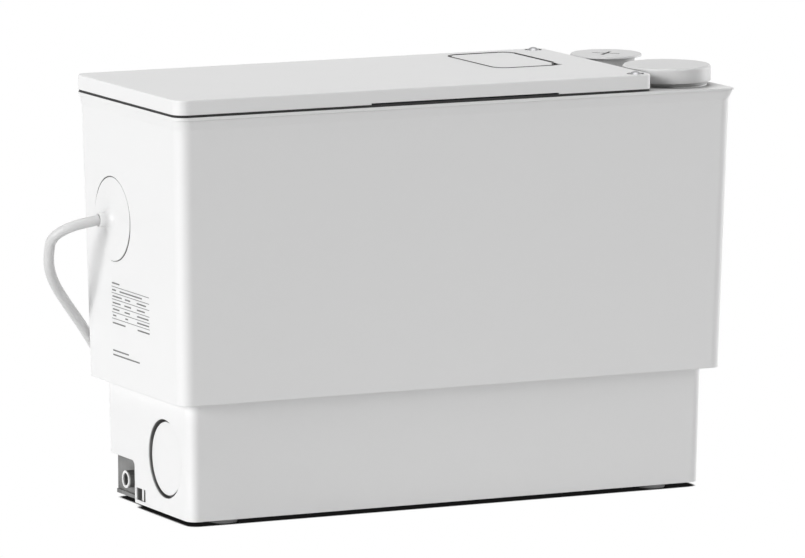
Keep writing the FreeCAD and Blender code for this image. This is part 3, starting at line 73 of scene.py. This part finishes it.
# mains lead in one run: gland, left wall, round behind the tank, coil, plug
mainsLead = {
    "diameter": 0.0067,
    "length": 1.61,
    "exit": (-0.202325, 0.0262, 0.1836),
    "toCoil": [
        (-0.2086, 0.0262, 0.1826), (-0.2213, 0.0285, 0.1799), (-0.2305, 0.0350, 0.1729),
        (-0.2301, 0.0400, 0.1631), (-0.2282, 0.0445, 0.1523), (-0.2214, 0.0515, 0.1407),
        (-0.2090, 0.0615, 0.1268), (-0.185, 0.0807, 0.1021), (-0.160, 0.086, 0.062),
        (-0.130, 0.087, 0.031), (-0.095, 0.0865, 0.011), (-0.060, 0.0855, 0.0047),
        (-0.0267, 0.0855, 0.0047),
    ],
    "toPlug": [
        (-0.0133, 0.0855, 0.012), (0.006, 0.0855, 0.012), (0.028, 0.090, 0.014),
        (0.052, 0.098, 0.0185), (0.074, 0.098, 0.0185),
    ],
}
coil = {
    "centre": (-0.020, 0.131525),
    "innerRadius": 0.018650,
    "pitch": 0.0073,
    "turnsPerLayer": 2.5,
    "climbTurns": 0.5,
    "low": 0.0047,
    "perTurn": 16,
}
# short runs inside the tank: lead from the gland to the terminals, air hose from the level tube
innerLead = {
    "diameter": 0.0067,
    "length": 0.118,
    "route": [
        (-0.176825, 0.0262, 0.1836), (-0.158825, 0.0262, 0.1836),
        (-0.089, -0.014, 0.205), (-0.071, -0.014, 0.205),
    ],
}
airHose = {
    "diameter": 0.009,
    "length": 0.140,
    "route": [
        (-0.0537, 0.034, 0.214), (-0.0197, 0.034, 0.214),
        (0.0207, -0.030, 0.228), (0.0547, -0.030, 0.228),
    ],
}
lineShape = {"order": 3, "stepsPerPoint": 10, "roundSteps": 6}


# the lower layer winds inward, the upper one outward, with an eased climb between them
def coilPoint(turns):
    past = turns - coil["turnsPerLayer"]
    radius = coil["innerRadius"] + coil["pitch"] * (coil["turnsPerLayer"] / 2 + abs(past))
    radius /= math.cos(math.pi / coil["perTurn"])  # the spline cuts inside its points
    climb = min(max(past / coil["climbTurns"] + 0.5, 0), 1)
    height = coil["low"] + coil["pitch"] * (3 * climb ** 2 - 2 * climb ** 3)
    angle = 2 * math.pi * turns - math.pi / 2
    x, y = coil["centre"]
    return (x + radius * math.cos(angle), y + radius * math.sin(angle), height)


def makeLine(name, route, diameter):
    data = bpy.data.curves.new(name, "CURVE")
    data.dimensions = "3D"
    data.bevel_depth = 1  # the points' own radius then sets the thickness
    data.bevel_resolution = lineShape["roundSteps"]
    data.use_fill_caps = True
    data.resolution_u = lineShape["stepsPerPoint"]
    spline = data.splines.new("NURBS")
    spline.points.add(len(route) - 1)
    for point, place in zip(spline.points, route):
        point.co = (*place, 1)
        point.radius = diameter / 2
    spline.order_u = lineShape["order"]
    spline.use_endpoint_u = True
    piece = bpy.data.objects.new(name, data)
    bpy.context.collection.objects.link(piece)
    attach(piece, "tank")
    return piece


def layMainsLead():
    steps = round(2 * coil["turnsPerLayer"] * coil["perTurn"])
    turns = [coilPoint(step / coil["perTurn"]) for step in range(steps + 1)]
    route = [mainsLead["exit"]] + mainsLead["toCoil"] + turns + mainsLead["toPlug"]
    piece = makeLine("mainsCord", route, mainsLead["diameter"])
    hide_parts("power_cord", "power_cord_coil", "plug_cord")
    return piece


def layInside(name, node, line):
    piece = makeLine(name, line["route"], line["diameter"])
    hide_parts(node)
    return piece


mainsCord = layMainsLead()
innerCord = layInside("innerCord", "inner_lead", innerLead)
switchHose = layInside("switchHose", "air_hose", airHose)
print("cords laid")


# helpers for the node trees
def grey(level):
    return (level, level, level, 1)


def wire(tree, source, target):
    if isinstance(source, bpy.types.NodeSocket):
        tree.links.new(source, target)
    else:
        target.default_value = source  # a plain number needs no link


def mathNode(tree, kind, first, second, clamp=False):
    node = tree.nodes.new("ShaderNodeMath")
    node.operation = kind
    node.use_clamp = clamp
    wire(tree, first, node.inputs[0])
    wire(tree, second, node.inputs[1])
    return node.outputs[0]


def mixColour(tree, factor, first, second):
    node = tree.nodes.new("ShaderNodeMix")
    node.data_type = "RGBA"
    wire(tree, factor, node.inputs["Factor"])
    wire(tree, first, node.inputs[6])  # 6 and 7 are its two colours
    wire(tree, second, node.inputs[7])
    return node.outputs[2]


def mixShader(tree, factor, first, second):
    node = tree.nodes.new("ShaderNodeMixShader")
    wire(tree, factor, node.inputs[0])
    wire(tree, first, node.inputs[1])
    wire(tree, second, node.inputs[2])
    return node.outputs[0]


def axesOf(tree, vector):
    node = tree.nodes.new("ShaderNodeSeparateXYZ")
    wire(tree, vector, node.inputs[0])
    return node.outputs


def noise(tree, place, scale, detail=2):
    node = tree.nodes.new("ShaderNodeTexNoise")
    wire(tree, place, node.inputs["Vector"])
    wire(tree, scale, node.inputs["Scale"])
    node.inputs["Detail"].default_value = detail
    return node.outputs["Fac"]


def softNormal(tree, radius, samples=4):
    node = tree.nodes.new("ShaderNodeBevel")
    node.samples = samples
    wire(tree, radius, node.inputs["Radius"])
    return node.outputs["Normal"]


def openness(tree, reach, samples):
    node = tree.nodes.new("ShaderNodeAmbientOcclusion")
    node.samples = samples
    wire(tree, reach, node.inputs["Distance"])
    return node.outputs["AO"]


# shader groups, each built once and placed in every material
number, colour, direction = "NodeSocketFloat", "NodeSocketColor", "NodeSocketVector"


def newGroup(name, inputs, outputs):
    group = bpy.data.node_groups.new(name, "ShaderNodeTree")
    for label, kind, value in inputs:
        socket = group.interface.new_socket(label, in_out="INPUT", socket_type=kind)
        socket.default_value = value
    for label, kind in outputs:
        group.interface.new_socket(label, in_out="OUTPUT", socket_type=kind)
    into = group.nodes.new("NodeGroupInput").outputs
    out = group.nodes.new("NodeGroupOutput").inputs
    return group, into, out


# fine moulded grain on softened edges, with cloudy gloss
grainLook = {"detail": 3, "height": 0.0002, "cloudScale": 22}


def makeGrainGroup():
    group, into, out = newGroup(
        "mouldedGrain",
        [("Grain Size", number, 900.0), ("Depth", number, 0.1), ("Edge Radius", number, 0.0006),
         ("Roughness", number, 0.4), ("Spread", number, 0.06)],
        [("Normal", direction), ("Roughness", number)],
    )
    place = group.nodes.new("ShaderNodeTexCoord").outputs["Object"]
    bump = group.nodes.new("ShaderNodeBump")
    bump.inputs["Distance"].default_value = grainLook["height"]
    wire(group, into["Depth"], bump.inputs["Strength"])
    wire(group, noise(group, place, into["Grain Size"], grainLook["detail"]), bump.inputs["Height"])
    wire(group, softNormal(group, into["Edge Radius"]), bump.inputs["Normal"])
    wire(group, bump.outputs["Normal"], out["Normal"])
    centred = mathNode(group, "SUBTRACT", noise(group, place, grainLook["cloudScale"]), 0.5)
    swing = mathNode(group, "MULTIPLY", centred, into["Spread"])
    wire(group, mathNode(group, "ADD", swing, into["Roughness"], clamp=True), out["Roughness"])
    return group


# tone: handled edges paler, dust on what faces up, painted shade in narrow gaps, under close cover
# and in the left wall's pockets
toneLook = {
    "edgeGain": 6.0,
    "patchScale": 160,
    "dustScale": 60,
    "dustDetail": 6,
    "gapOpenness": 0.62,
    "gapGain": 4.0,
    "gapShadeSamples": 6,
    "shadeOpenness": 0.94,
    "shadeGain": 1.7,
    "shadeSamples": 8,
}
# skin of the left wall above the step: it leans out as it rises
leftWall = {
    "footX": -0.1899,
    "footZ": 0.078,
    "height": 0.1731,
    "leanOut": 0.00405,
}
# painted shade in the pockets of the left wall: what lies inward of its skin, behind the front corner
# and below the rim is darkened
wallPocketShade = {
    "stepZ": 0.0785,
    "stepIn": 0.00883,
    "slack": 0.0021,
    "depthGain": 1000.0,
    "innerX": -0.160,
    "topZ": 0.24,
    "frontY": -0.0575,
    "frontGain": 900.0,
    "turnLimit": 0.5,
    "cloudLow": 0.55,
    "cloudSpread": 0.3,
}


def leftWallX(z):
    rise = (z - leftWall["footZ"]) / leftWall["height"]
    return leftWall["footX"] - rise * leftWall["leanOut"]


def wearMask(tree, into, normal, place):
    alike = tree.nodes.new("ShaderNodeVectorMath")
    alike.operation = "DOT_PRODUCT"
    wire(tree, softNormal(tree, into["Wear Width"]), alike.inputs[0])
    wire(tree, normal, alike.inputs[1])
    bend = mathNode(tree, "SUBTRACT", 1.0, alike.outputs["Value"])
    edge = mathNode(tree, "MULTIPLY", bend, toneLook["edgeGain"], clamp=True)
    patchy = mathNode(tree, "MULTIPLY", edge, noise(tree, place, toneLook["patchScale"]))
    return mathNode(tree, "MULTIPLY", patchy, into["Edge Wear"], clamp=True)


def dustMask(tree, into, facing, cloud):
    lying = mathNode(tree, "MULTIPLY", facing["Z"], cloud, clamp=True)
    return mathNode(tree, "MULTIPLY", lying, into["Dust"], clamp=True)


# painted shade in narrow gaps: the colour darkens where little is open around
def gapShadeMask(tree, into):
    around = openness(tree, into["Gap Reach"], toneLook["gapShadeSamples"])
    closed = mathNode(tree, "SUBTRACT", toneLook["gapOpenness"], around)
    narrow = mathNode(tree, "MULTIPLY", closed, toneLook["gapGain"], clamp=True)
    return mathNode(tree, "MULTIPLY", narrow, into["Gap Shade"], clamp=True)


# Level Only keeps the shade on faces that look up
def shadeMask(tree, into, facing):
    around = openness(tree, into["Shade Reach"], toneLook["shadeSamples"])
    under = mathNode(tree, "SUBTRACT", toneLook["shadeOpenness"], around)
    covered = mathNode(tree, "MULTIPLY", under, toneLook["shadeGain"], clamp=True)
    level = mathNode(tree, "MULTIPLY", facing["Z"], 1.0, clamp=True)
    tilted = mathNode(tree, "SUBTRACT", 1.0, level)
    spared = mathNode(tree, "MULTIPLY", tilted, into["Level Only"])
    share = mathNode(tree, "MULTIPLY", into["Shade"], mathNode(tree, "SUBTRACT", 1.0, spared))
    return mathNode(tree, "MULTIPLY", covered, share)


# painted shade: pockets of the left wall grow darker the deeper they go, with a cloudy spread
def pocketShadeMask(tree, into, spot, facing, cloud):
    lean = mathNode(tree, "MULTIPLY", spot["Z"], leftWall["leanOut"] / leftWall["height"])
    upperSkin = mathNode(tree, "SUBTRACT", leftWallX(0), lean)
    belowStep = mathNode(tree, "LESS_THAN", spot["Z"], wallPocketShade["stepZ"])
    stepIn = mathNode(tree, "MULTIPLY", belowStep, wallPocketShade["stepIn"])
    skin = mathNode(tree, "ADD", upperSkin, stepIn)
    lookingOut = mathNode(tree, "MULTIPLY", facing["X"], -1.0, clamp=True)
    slack = mathNode(tree, "MULTIPLY", lookingOut, wallPocketShade["slack"])
    inward = mathNode(tree, "SUBTRACT", mathNode(tree, "SUBTRACT", spot["X"], skin), slack)
    mask = mathNode(tree, "MULTIPLY", inward, wallPocketShade["depthGain"], clamp=True)
    bounded = [(spot["X"], "innerX"), (spot["Z"], "topZ")]
    bounded += [(facing[axis], "turnLimit") for axis in "XY"]
    for value, limit in bounded:
        within = mathNode(tree, "LESS_THAN", value, wallPocketShade[limit])
        mask = mathNode(tree, "MULTIPLY", mask, within)
    behind = mathNode(tree, "SUBTRACT", spot["Y"], wallPocketShade["frontY"])
    behindFront = mathNode(tree, "MULTIPLY", behind, wallPocketShade["frontGain"], clamp=True)
    swing = mathNode(tree, "MULTIPLY", cloud, wallPocketShade["cloudSpread"])
    cloudy = mathNode(tree, "ADD", swing, wallPocketShade["cloudLow"])
    mask = mathNode(tree, "MULTIPLY", mathNode(tree, "MULTIPLY", mask, behindFront), cloudy)
    return mathNode(tree, "MULTIPLY", mask, into["Pocket Shade"], clamp=True)


def makeToneGroup():
    group, into, out = newGroup(
        "edgeWearDustAndShade",
        [("Base", colour, grey(0.8)), ("Worn", colour, grey(0.9)), ("Edge Wear", number, 0.3),
         ("Wear Width", number, 0.0012), ("Dust Tint", colour, (0.5, 0.48, 0.45, 1)),
         ("Dust", number, 0.04), ("Shade Tint", colour, (0.06, 0.06, 0.058, 1)),
         ("Gap Shade", number, 0.0), ("Gap Reach", number, 0.002), ("Shade", number, 0.0),
         ("Shade Reach", number, 0.016), ("Level Only", number, 0.0), ("Pocket Shade", number, 0.0)],
        [("Color", colour)],
    )
    place = group.nodes.new("ShaderNodeTexCoord").outputs["Object"]
    surface = group.nodes.new("ShaderNodeNewGeometry").outputs
    facing = axesOf(group, surface["Normal"])
    spot = axesOf(group, surface["Position"])
    cloud = noise(group, place, toneLook["dustScale"], toneLook["dustDetail"])
    worn = wearMask(group, into, surface["Normal"], place)
    tone = mixColour(group, worn, into["Base"], into["Worn"])
    tone = mixColour(group, dustMask(group, into, facing, cloud), tone, into["Dust Tint"])
    # the last three mixes paint shade: in narrow gaps, under close cover and in the left wall's
    # pockets
    tone = mixColour(group, gapShadeMask(group, into), tone, into["Shade Tint"])
    tone = mixColour(group, shadeMask(group, into, facing), tone, into["Shade Tint"])
    pocketShading = pocketShadeMask(group, into, spot, facing, cloud)
    wire(group, mixColour(group, pocketShading, tone, into["Shade Tint"]), out["Color"])
    return group


grainGroup = makeGrainGroup()
toneGroup = makeToneGroup()


# finishes, by the groups' own input names; some also set how much painted shade falls in their gaps,
# under close cover and in the left wall's pockets
whitePlastic = {"Base": grey(0.80), "Worn": grey(0.86), "Roughness": 0.42, "Grain Size": 900,
                "Depth": 0.10}
finishes = {
    "tankWhite": {**whitePlastic, "Gap Shade": 0.5, "Shade": 0.8, "Level Only": 1.0, "Pocket Shade": 1.25},
    "deckWhite": {**whitePlastic, "Gap Shade": 0.7, "Shade": 0.6},
    "lidWhite": {**whitePlastic, "Roughness": 0.40, "Gap Shade": 0.9, "Gap Reach": 0.008},
    "hatchWhite": {**whitePlastic, "Worn": grey(0.84), "Roughness": 0.40, "Gap Shade": 0.9,
                   "Gap Reach": 0.006},
    "capWhite": {"Base": grey(0.67), "Worn": grey(0.80), "Roughness": 0.38, "Grain Size": 1100,
                 "Depth": 0.08, "Gap Shade": 0.9, "Gap Reach": 0.004, "Shade": 0.6, "Shade Reach": 0.008},
    "glandWhite": {"Base": grey(0.79), "Worn": grey(0.84), "Roughness": 0.38, "Grain Size": 1100,
                   "Depth": 0.08, "Gap Shade": 0.6, "Shade": 0.5},
    "innerWhite": {"Base": grey(0.74), "Worn": grey(0.80), "Roughness": 0.48, "Grain Size": 700,
                   "Depth": 0.12},
    "cordGrey": {"Base": grey(0.64), "Worn": grey(0.68), "Roughness": 0.45, "Grain Size": 1500,
                 "Depth": 0.05},
    "plugGrey": {"Base": grey(0.60), "Worn": grey(0.68), "Roughness": 0.45, "Grain Size": 1200,
                 "Depth": 0.08},
    "sealAndGapShadeBlack": {"Base": grey(0.018), "Worn": grey(0.03), "Roughness": 0.70, "Grain Size": 1400,
                  "Depth": 0.15},
    "footGrey": {"Base": grey(0.30), "Worn": grey(0.40), "Roughness": 0.60, "Grain Size": 1400,
                 "Depth": 0.15},
    "innerDark": {"Base": grey(0.035), "Worn": grey(0.08), "Roughness": 0.50, "Grain Size": 900,
                  "Depth": 0.15},
    "hoseBlack": {"Base": grey(0.030), "Worn": grey(0.05), "Roughness": 0.55, "Grain Size": 1200,
                  "Depth": 0.10},
    "carbonFelt": {"Base": grey(0.022), "Worn": grey(0.035), "Roughness": 0.95, "Grain Size": 2600,
                   "Depth": 0.9},
    "ruleInk": {"Base": grey(0.16), "Worn": grey(0.20), "Roughness": 0.55, "Grain Size": 2400,
                "Depth": 0.05},
}
metals = {
    "zincSteel": {"Base": (0.56, 0.57, 0.58, 1), "Worn": (0.68, 0.68, 0.69, 1), "Roughness": 0.32,
                  "Grain Size": 1800, "Depth": 0.10, "Metallic": 1.0},
    "screwSteel": {"Base": (0.30, 0.30, 0.31, 1), "Worn": (0.72, 0.72, 0.72, 1), "Roughness": 0.28,
                   "Grain Size": 1800, "Depth": 0.10, "Metallic": 1.0, "Edge Wear": 0.9},
    "plugBrass": {"Base": (0.70, 0.68, 0.62, 1), "Worn": (0.80, 0.72, 0.50, 1), "Roughness": 0.24,
                  "Grain Size": 1800, "Depth": 0.05, "Metallic": 1.0},
    "castAluminium": {"Base": (0.55, 0.56, 0.57, 1), "Worn": (0.70, 0.70, 0.71, 1), "Roughness": 0.45,
                      "Grain Size": 1300, "Depth": 0.30, "Metallic": 1.0},
    "laminations": {"Base": (0.16, 0.15, 0.14, 1), "Worn": (0.35, 0.34, 0.33, 1), "Roughness": 0.40,
                    "Grain Size": 1000, "Depth": 0.10, "Metallic": 0.8},
}


def placeGroup(tree, group, look):
    node = tree.nodes.new("ShaderNodeGroup")
    node.node_tree = group
    for socket in node.inputs:
        if socket.name in look:
            socket.default_value = look[socket.name]
    return node.outputs


def makeFinish(name, look):
    material = bpy.data.materials.new(name)
    material.use_nodes = True
    tree = material.node_tree
    shader = tree.nodes["Principled BSDF"].inputs
    tone = placeGroup(tree, toneGroup, look)
    grain = placeGroup(tree, grainGroup, look)
    wire(tree, tone["Color"], shader["Base Color"])
    wire(tree, grain["Roughness"], shader["Roughness"])
    wire(tree, grain["Normal"], shader["Normal"])
    shader["Metallic"].default_value = look.get("Metallic", 0.0)
    return material


made = {name: makeFinish(name, look) for name, look in {**finishes, **metals}.items()}
wearers = {
    "tankWhite": ["tank", "fixing_sleeve_left", "fixing_sleeve_right", "side_inlet_plug_left",
                  "side_inlet_plug_right"],
    "deckWhite": ["inlet_socket", "outlet_socket"],
    "lidWhite": ["lid"],
    "hatchWhite": ["hatch"],
    "capWhite": ["inlet_cap", "outlet_cap"],
    "innerWhite": ["tank_cover", "filter_basket", "motor_shelf", "valve_body", "level_tube"],
    # lid_seal and the door strip are black to stand for the painted shade in the gaps under the lid
    # and round the door
    "sealAndGapShadeBlack": ["lid_seal", "cover_gasket", "side_inlet_seal_left", "side_inlet_seal_right",
                  "outlet_cap_seal", "shaft_seal", "valve_flap"],
    "footGrey": ["feet"],
    "innerDark": ["cord_tie", "gland_nut", "pressure_switch", "terminal_block", "capacitor",
                  "suction_strainer", "volute_casing", "impeller", "bearing_bracket"],
    "hoseBlack": ["discharge_pipe"],
    "carbonFelt": ["carbon_filter"],
    "screwSteel": ["lid_screw_front", "lid_screw_rear"],
    "zincSteel": ["cover_screws", "shaft", "impeller_nut", "bearing_lower", "bearing_upper",
                  "valve_pin", "switch_plunger"],
    "plugBrass": ["plug_pins"],
    "castAluminium": ["motor_housing", "motor_end_cap"],
    "laminations": ["stator", "rotor"],
}
smoothBelow = {"solids": 32, "plug": 35, "trim": 40}  # degrees between faces


def dress(piece, finish):
    piece.data.materials.clear()
    piece.data.materials.append(made[finish])


def smoothShape(piece, degrees):
    piece.data.shade_smooth()
    piece.data.set_sharp_from_angle(angle=math.radians(degrees))


for finish, nodes in wearers.items():
    for node in nodes:
        dress(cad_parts[node], finish)
        smoothShape(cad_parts[node], smoothBelow["solids"])
dress(mainsCord, "cordGrey")
dress(innerCord, "cordGrey")
dress(switchHose, "hoseBlack")
print("finishes on", sum(len(nodes) for nodes in wearers.values()), "nodes")


# helpers for the pieces made here
def joinRings(mesh, one, two):
    around = max(len(one), len(two))
    for step in range(around):
        after = (step + 1) % around
        corners = [one[step % len(one)], one[after % len(one)],
                   two[after % len(two)], two[step % len(two)]]
        mesh.faces.new(list(dict.fromkeys(corners)))  # a ring of one point gives triangles


def ringOf(mesh, middle, radii):
    ring = []
    for step, radius in enumerate(radii):
        angle = 2 * math.pi * step / len(radii)
        ring.append(mesh.verts.new((middle[0], middle[1] + radius * math.cos(angle),
                                    middle[2] + radius * math.sin(angle))))
    return ring


def newPiece(name, mesh, body, finish):
    bmesh.ops.recalc_face_normals(mesh, faces=mesh.faces)
    mesh.normal_update()
    data = bpy.data.meshes.new(name)
    mesh.to_mesh(data)
    mesh.free()
    piece = bpy.data.objects.new(name, data)
    bpy.context.collection.objects.link(piece)
    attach(piece, body)
    dress(piece, finish)
    return piece


# plug: moulded body with grips and a ribbed tail, turned about its own length
plugShape = {
    "start": mainsLead["toPlug"][-1],
    "profile": [
        (0.0, 0.0034), (0.0, 0.0050), (0.0035, 0.0052), (0.0040, 0.0042), (0.0060, 0.0042),
        (0.0065, 0.0056), (0.0095, 0.0058), (0.0100, 0.0046), (0.0120, 0.0046), (0.0125, 0.0061),
        (0.0155, 0.0063), (0.0160, 0.0052), (0.0180, 0.0053), (0.0185, 0.0068), (0.0215, 0.0080),
        (0.0250, 0.0098), (0.0290, 0.0124), (0.0320, 0.0152), (0.0335, 0.0170), (0.0350, 0.0181),
        (0.0370, 0.0185), (0.0545, 0.0185), (0.0556, 0.0181), (0.0560, 0.0173),
    ],
    "around": 64,
    "gripCount": 16,
    "gripDepth": 0.0006,
    "gripFrom": 0.036,
    "gripTo": 0.0552,
}


def makePlug(shape):
    mesh = bmesh.new()
    x, y, z = shape["start"]
    gripEvery = shape["around"] // shape["gripCount"]
    rings = []
    for along, radius in shape["profile"]:
        radii = [radius] * shape["around"]
        if shape["gripFrom"] < along < shape["gripTo"]:
            radii[::gripEvery] = [radius - shape["gripDepth"]] * shape["gripCount"]
        rings.append(ringOf(mesh, (x + along, y, z), radii))
    for one, two in zip(rings, rings[1:]):
        joinRings(mesh, one, two)
    mesh.faces.new(list(reversed(rings[0])))
    mesh.faces.new(rings[-1])
    piece = newPiece("plugBody", mesh, "tank", "plugGrey")
    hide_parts("plug")
    smoothShape(piece, smoothBelow["plug"])
    return piece


plugBody = makePlug(plugShape)
print("plug made")


# gland: flat flange on its seal ring, falling in a trumpet to the collar that grips the lead
glandShape = {
    "face": -0.191825,
    "middle": (0.0262, 0.1836),
    "profile": [
        (0.0150, 0.0000), (0.0150, 0.0080), (0.0012, 0.0080), (0.0012, 0.0240), (-0.0003, 0.0240),
        (-0.0003, 0.0266), (-0.0007, 0.0266), (-0.0010, 0.0263), (-0.0011, 0.0200),
        (-0.0014, 0.0150), (-0.0019, 0.0113), (-0.0027, 0.0086), (-0.0038, 0.0066),
        (-0.0052, 0.0054), (-0.0070, 0.0049), (-0.0100, 0.0048), (-0.0105, 0.0045),
        (-0.0105, 0.0000),
    ],
    "seal": [(0.0011, 0.0243), (0.0011, 0.0269), (-0.0003, 0.0269), (-0.0003, 0.0243)],
    "around": 96,
}


def glandRings(mesh, shape, profile):
    rings = []
    for along, radius in profile:
        count = shape["around"] if radius else 1
        rings.append(ringOf(mesh, (shape["face"] + along, *shape["middle"]), [radius] * count))
    return rings


def makeGlandSeal(shape):
    mesh = bmesh.new()
    rings = glandRings(mesh, shape, shape["seal"])
    for one, two in zip(rings, rings[1:] + rings[:1]):
        joinRings(mesh, one, two)
    piece = newPiece("glandSeal", mesh, "tank", "sealAndGapShadeBlack")
    smoothShape(piece, smoothBelow["trim"])


def makeGland(shape):
    mesh = bmesh.new()
    rings = glandRings(mesh, shape, shape["profile"])
    for one, two in zip(rings, rings[1:]):
        joinRings(mesh, one, two)
    piece = newPiece("glandBoot", mesh, "tank", "glandWhite")
    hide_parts("cable_gland")
    smoothShape(piece, smoothBelow["trim"])
    return piece


makeGlandSeal(glandShape)
glandBoot = makeGland(glandShape)


# black strip round the edge of the filter door, cut off at its front right corner, standing for the
# painted shade in the door's gap
doorStrip = {
    "centre": (0.0830, 0.0282),
    "half": (0.02325, 0.0385),
    "corner": 0.0088,
    "cornerSteps": 8,
    "cut": (0.008, 0.016),
    "from": -0.0001,
    "to": 0.0008,
    "low": 0.2675,
    "high": 0.2703,
}


def stripOutline(shape, out):
    cx, cy = shape["centre"]
    hx, hy = shape["half"][0] + out, shape["half"][1] + out
    radius = shape["corner"] + out
    cutX, cutY = shape["cut"]
    places = [(cx + hx, cy - hy + cutY), (cx + hx - cutX, cy - hy)]
    for signX, signY, start in ((-1, -1, 270), (-1, 1, 180), (1, 1, 90)):
        for step in range(shape["cornerSteps"] + 1):
            angle = math.radians(start - step * 90 / shape["cornerSteps"])
            places.append((cx + signX * (hx - radius) + radius * math.cos(angle),
                           cy + signY * (hy - radius) + radius * math.sin(angle)))
    return places


def makeDoorStrip(shape):
    mesh = bmesh.new()
    loops = []
    for side, level in (("from", "low"), ("from", "high"), ("to", "high"), ("to", "low")):
        outline = stripOutline(shape, shape[side])
        loops.append([mesh.verts.new((x, y, shape[level])) for x, y in outline])
    for one, two in zip(loops, loops[1:] + loops[:1]):
        joinRings(mesh, one, two)
    piece = newPiece("doorStrip", mesh, "hatch", "sealAndGapShadeBlack")
    smoothShape(piece, smoothBelow["trim"])


makeDoorStrip(doorStrip)
print("gland and door strip made")


# blank ruled form on the left wall: six rules and plain strokes, each a height and two ends
ruledForm = {
    "rear": 0.0303,
    "front": -0.0268,
    "rules": [0.1405, 0.1365, 0.1325, 0.1283, 0.1242, 0.1202],
    "ruleThick": 0.0004,
    "strokes": [
        (0.1428, 0.0295, 0.0180), (0.1384, 0.0295, 0.0235), (0.1384, 0.0180, -0.0160),
        (0.1344, 0.0290, 0.0150), (0.1344, 0.0100, 0.0020), (0.1344, -0.0080, -0.0220),
        (0.1303, 0.0290, 0.0170), (0.1303, 0.0110, 0.0010), (0.1303, -0.0080, -0.0200),
        (0.1262, 0.0290, 0.0190), (0.1262, 0.0110, 0.0030), (0.1262, -0.0080, -0.0255),
        (0.1222, 0.0290, 0.0240), (0.1222, 0.0100, 0.0060), (0.1222, -0.0080, -0.0260),
        (0.1174, 0.0296, 0.0102), (0.1176, -0.0085, -0.0266), (0.0998, 0.0300, 0.0060),
        (0.0970, 0.0300, -0.0105),
    ],
    "strokeThick": 0.0009,
    "proud": 0.00012,
}


def makeRuledForm(shape):
    mesh = bmesh.new()
    lines = [(level, shape["rear"], shape["front"], shape["ruleThick"]) for level in shape["rules"]]
    lines += [(*stroke, shape["strokeThick"]) for stroke in shape["strokes"]]
    for level, rear, front, thick in lines:
        low, high = level - thick / 2, level + thick / 2
        corners = ((rear, low), (front, low), (front, high), (rear, high))
        mesh.faces.new([mesh.verts.new((leftWallX(z) - shape["proud"], y, z)) for y, z in corners])
    newPiece("ruledForm", mesh, "tank", "ruleInk")


makeRuledForm(ruledForm)
print("ruled form made")


# studio: weak sky, three soft suns and a pale floor with a painted shadow close under the tank
studio = {
    "sky": 0.10,
    "suns": [
        {"from": (-0.922, -0.301, 0.243), "power": 2.45, "angle": math.radians(26)},
        {"from": (0.985, 0.000, 0.130), "power": 2.50, "angle": math.radians(40)},
        {"from": (0.0, 0.0, 1.0), "power": 1.15, "angle": math.radians(50)},
    ],
}
floorLook = {
    "half": 4,
    "tone": 0.85,
    "roughness": 0.9,
    "gapShadowReach": 0.009,
    "gapShadeSamples": 16,
    "gapShadowRamp": [(0.40, 0.008), (0.58, 1)],
}


# 1 for what is seen straight or mirrored, 0 for what only lights the object
def seenByEye(tree):
    rays = tree.nodes.new("ShaderNodeLightPath").outputs
    mirrored = mathNode(tree, "MAXIMUM", rays["Is Glossy Ray"], rays["Is Transmission Ray"])
    return mathNode(tree, "MAXIMUM", rays["Is Camera Ray"], mirrored)


def whiteGlow(tree, strength):
    node = tree.nodes.new("ShaderNodeBackground")
    node.inputs["Color"].default_value = grey(1)
    node.inputs["Strength"].default_value = strength
    return node.outputs[0]


def makeSky(level):
    world = bpy.data.worlds.new("studioSky")
    world.use_nodes = True
    bpy.context.scene.world = world
    tree = world.node_tree
    tree.nodes.clear()
    sky = mixShader(tree, seenByEye(tree), whiteGlow(tree, level), whiteGlow(tree, 1))
    wire(tree, sky, tree.nodes.new("ShaderNodeOutputWorld").inputs["Surface"])


def makeFloorFinish(look):
    material = bpy.data.materials.new("floorWhite")
    material.use_nodes = True
    tree = material.node_tree
    shader = tree.nodes["Principled BSDF"]
    shader.inputs["Base Color"].default_value = grey(look["tone"])
    shader.inputs["Roughness"].default_value = look["roughness"]
    ramp = tree.nodes.new("ShaderNodeValToRGB")
    for element, (position, level) in zip(ramp.color_ramp.elements, look["gapShadowRamp"]):
        element.position = position
        element.color = grey(level)
    # painted shadow: the floor's glow darkens where the tank closes in over it
    wire(tree, openness(tree, look["gapShadowReach"], look["gapShadeSamples"]), ramp.inputs["Fac"])
    shadowedGlow = tree.nodes.new("ShaderNodeEmission")
    shadowedGlow.inputs["Strength"].default_value = 1
    wire(tree, ramp.outputs["Color"], shadowedGlow.inputs["Color"])
    shown = mixShader(tree, seenByEye(tree), shader.outputs[0], shadowedGlow.outputs[0])
    wire(tree, shown, tree.nodes["Material Output"].inputs["Surface"])
    return material


def makeFloor(look):
    half = look["half"]
    corners = [(-half, -half, 0), (half, -half, 0), (half, half, 0), (-half, half, 0)]
    data = bpy.data.meshes.new("floor")
    data.from_pydata(corners, [], [(0, 1, 2, 3)])
    data.materials.append(makeFloorFinish(look))
    piece = bpy.data.objects.new("floor", data)
    bpy.context.collection.objects.link(piece)


def makeSun(index, sun):
    lamp = bpy.data.lights.new("softSun%d" % index, "SUN")
    lamp.energy = sun["power"]
    lamp.angle = sun["angle"]
    piece = bpy.data.objects.new(lamp.name, lamp)
    piece.rotation_euler = Vector(sun["from"]).to_track_quat("Z", "Y").to_euler()
    bpy.context.collection.objects.link(piece)


makeSky(studio["sky"])
makeFloor(floorLook)
for index, sun in enumerate(studio["suns"]):
    makeSun(index, sun)
bpy.context.scene.view_settings.view_transform = "Standard"
print("studio lit")

bpy.context.view_layer.update()
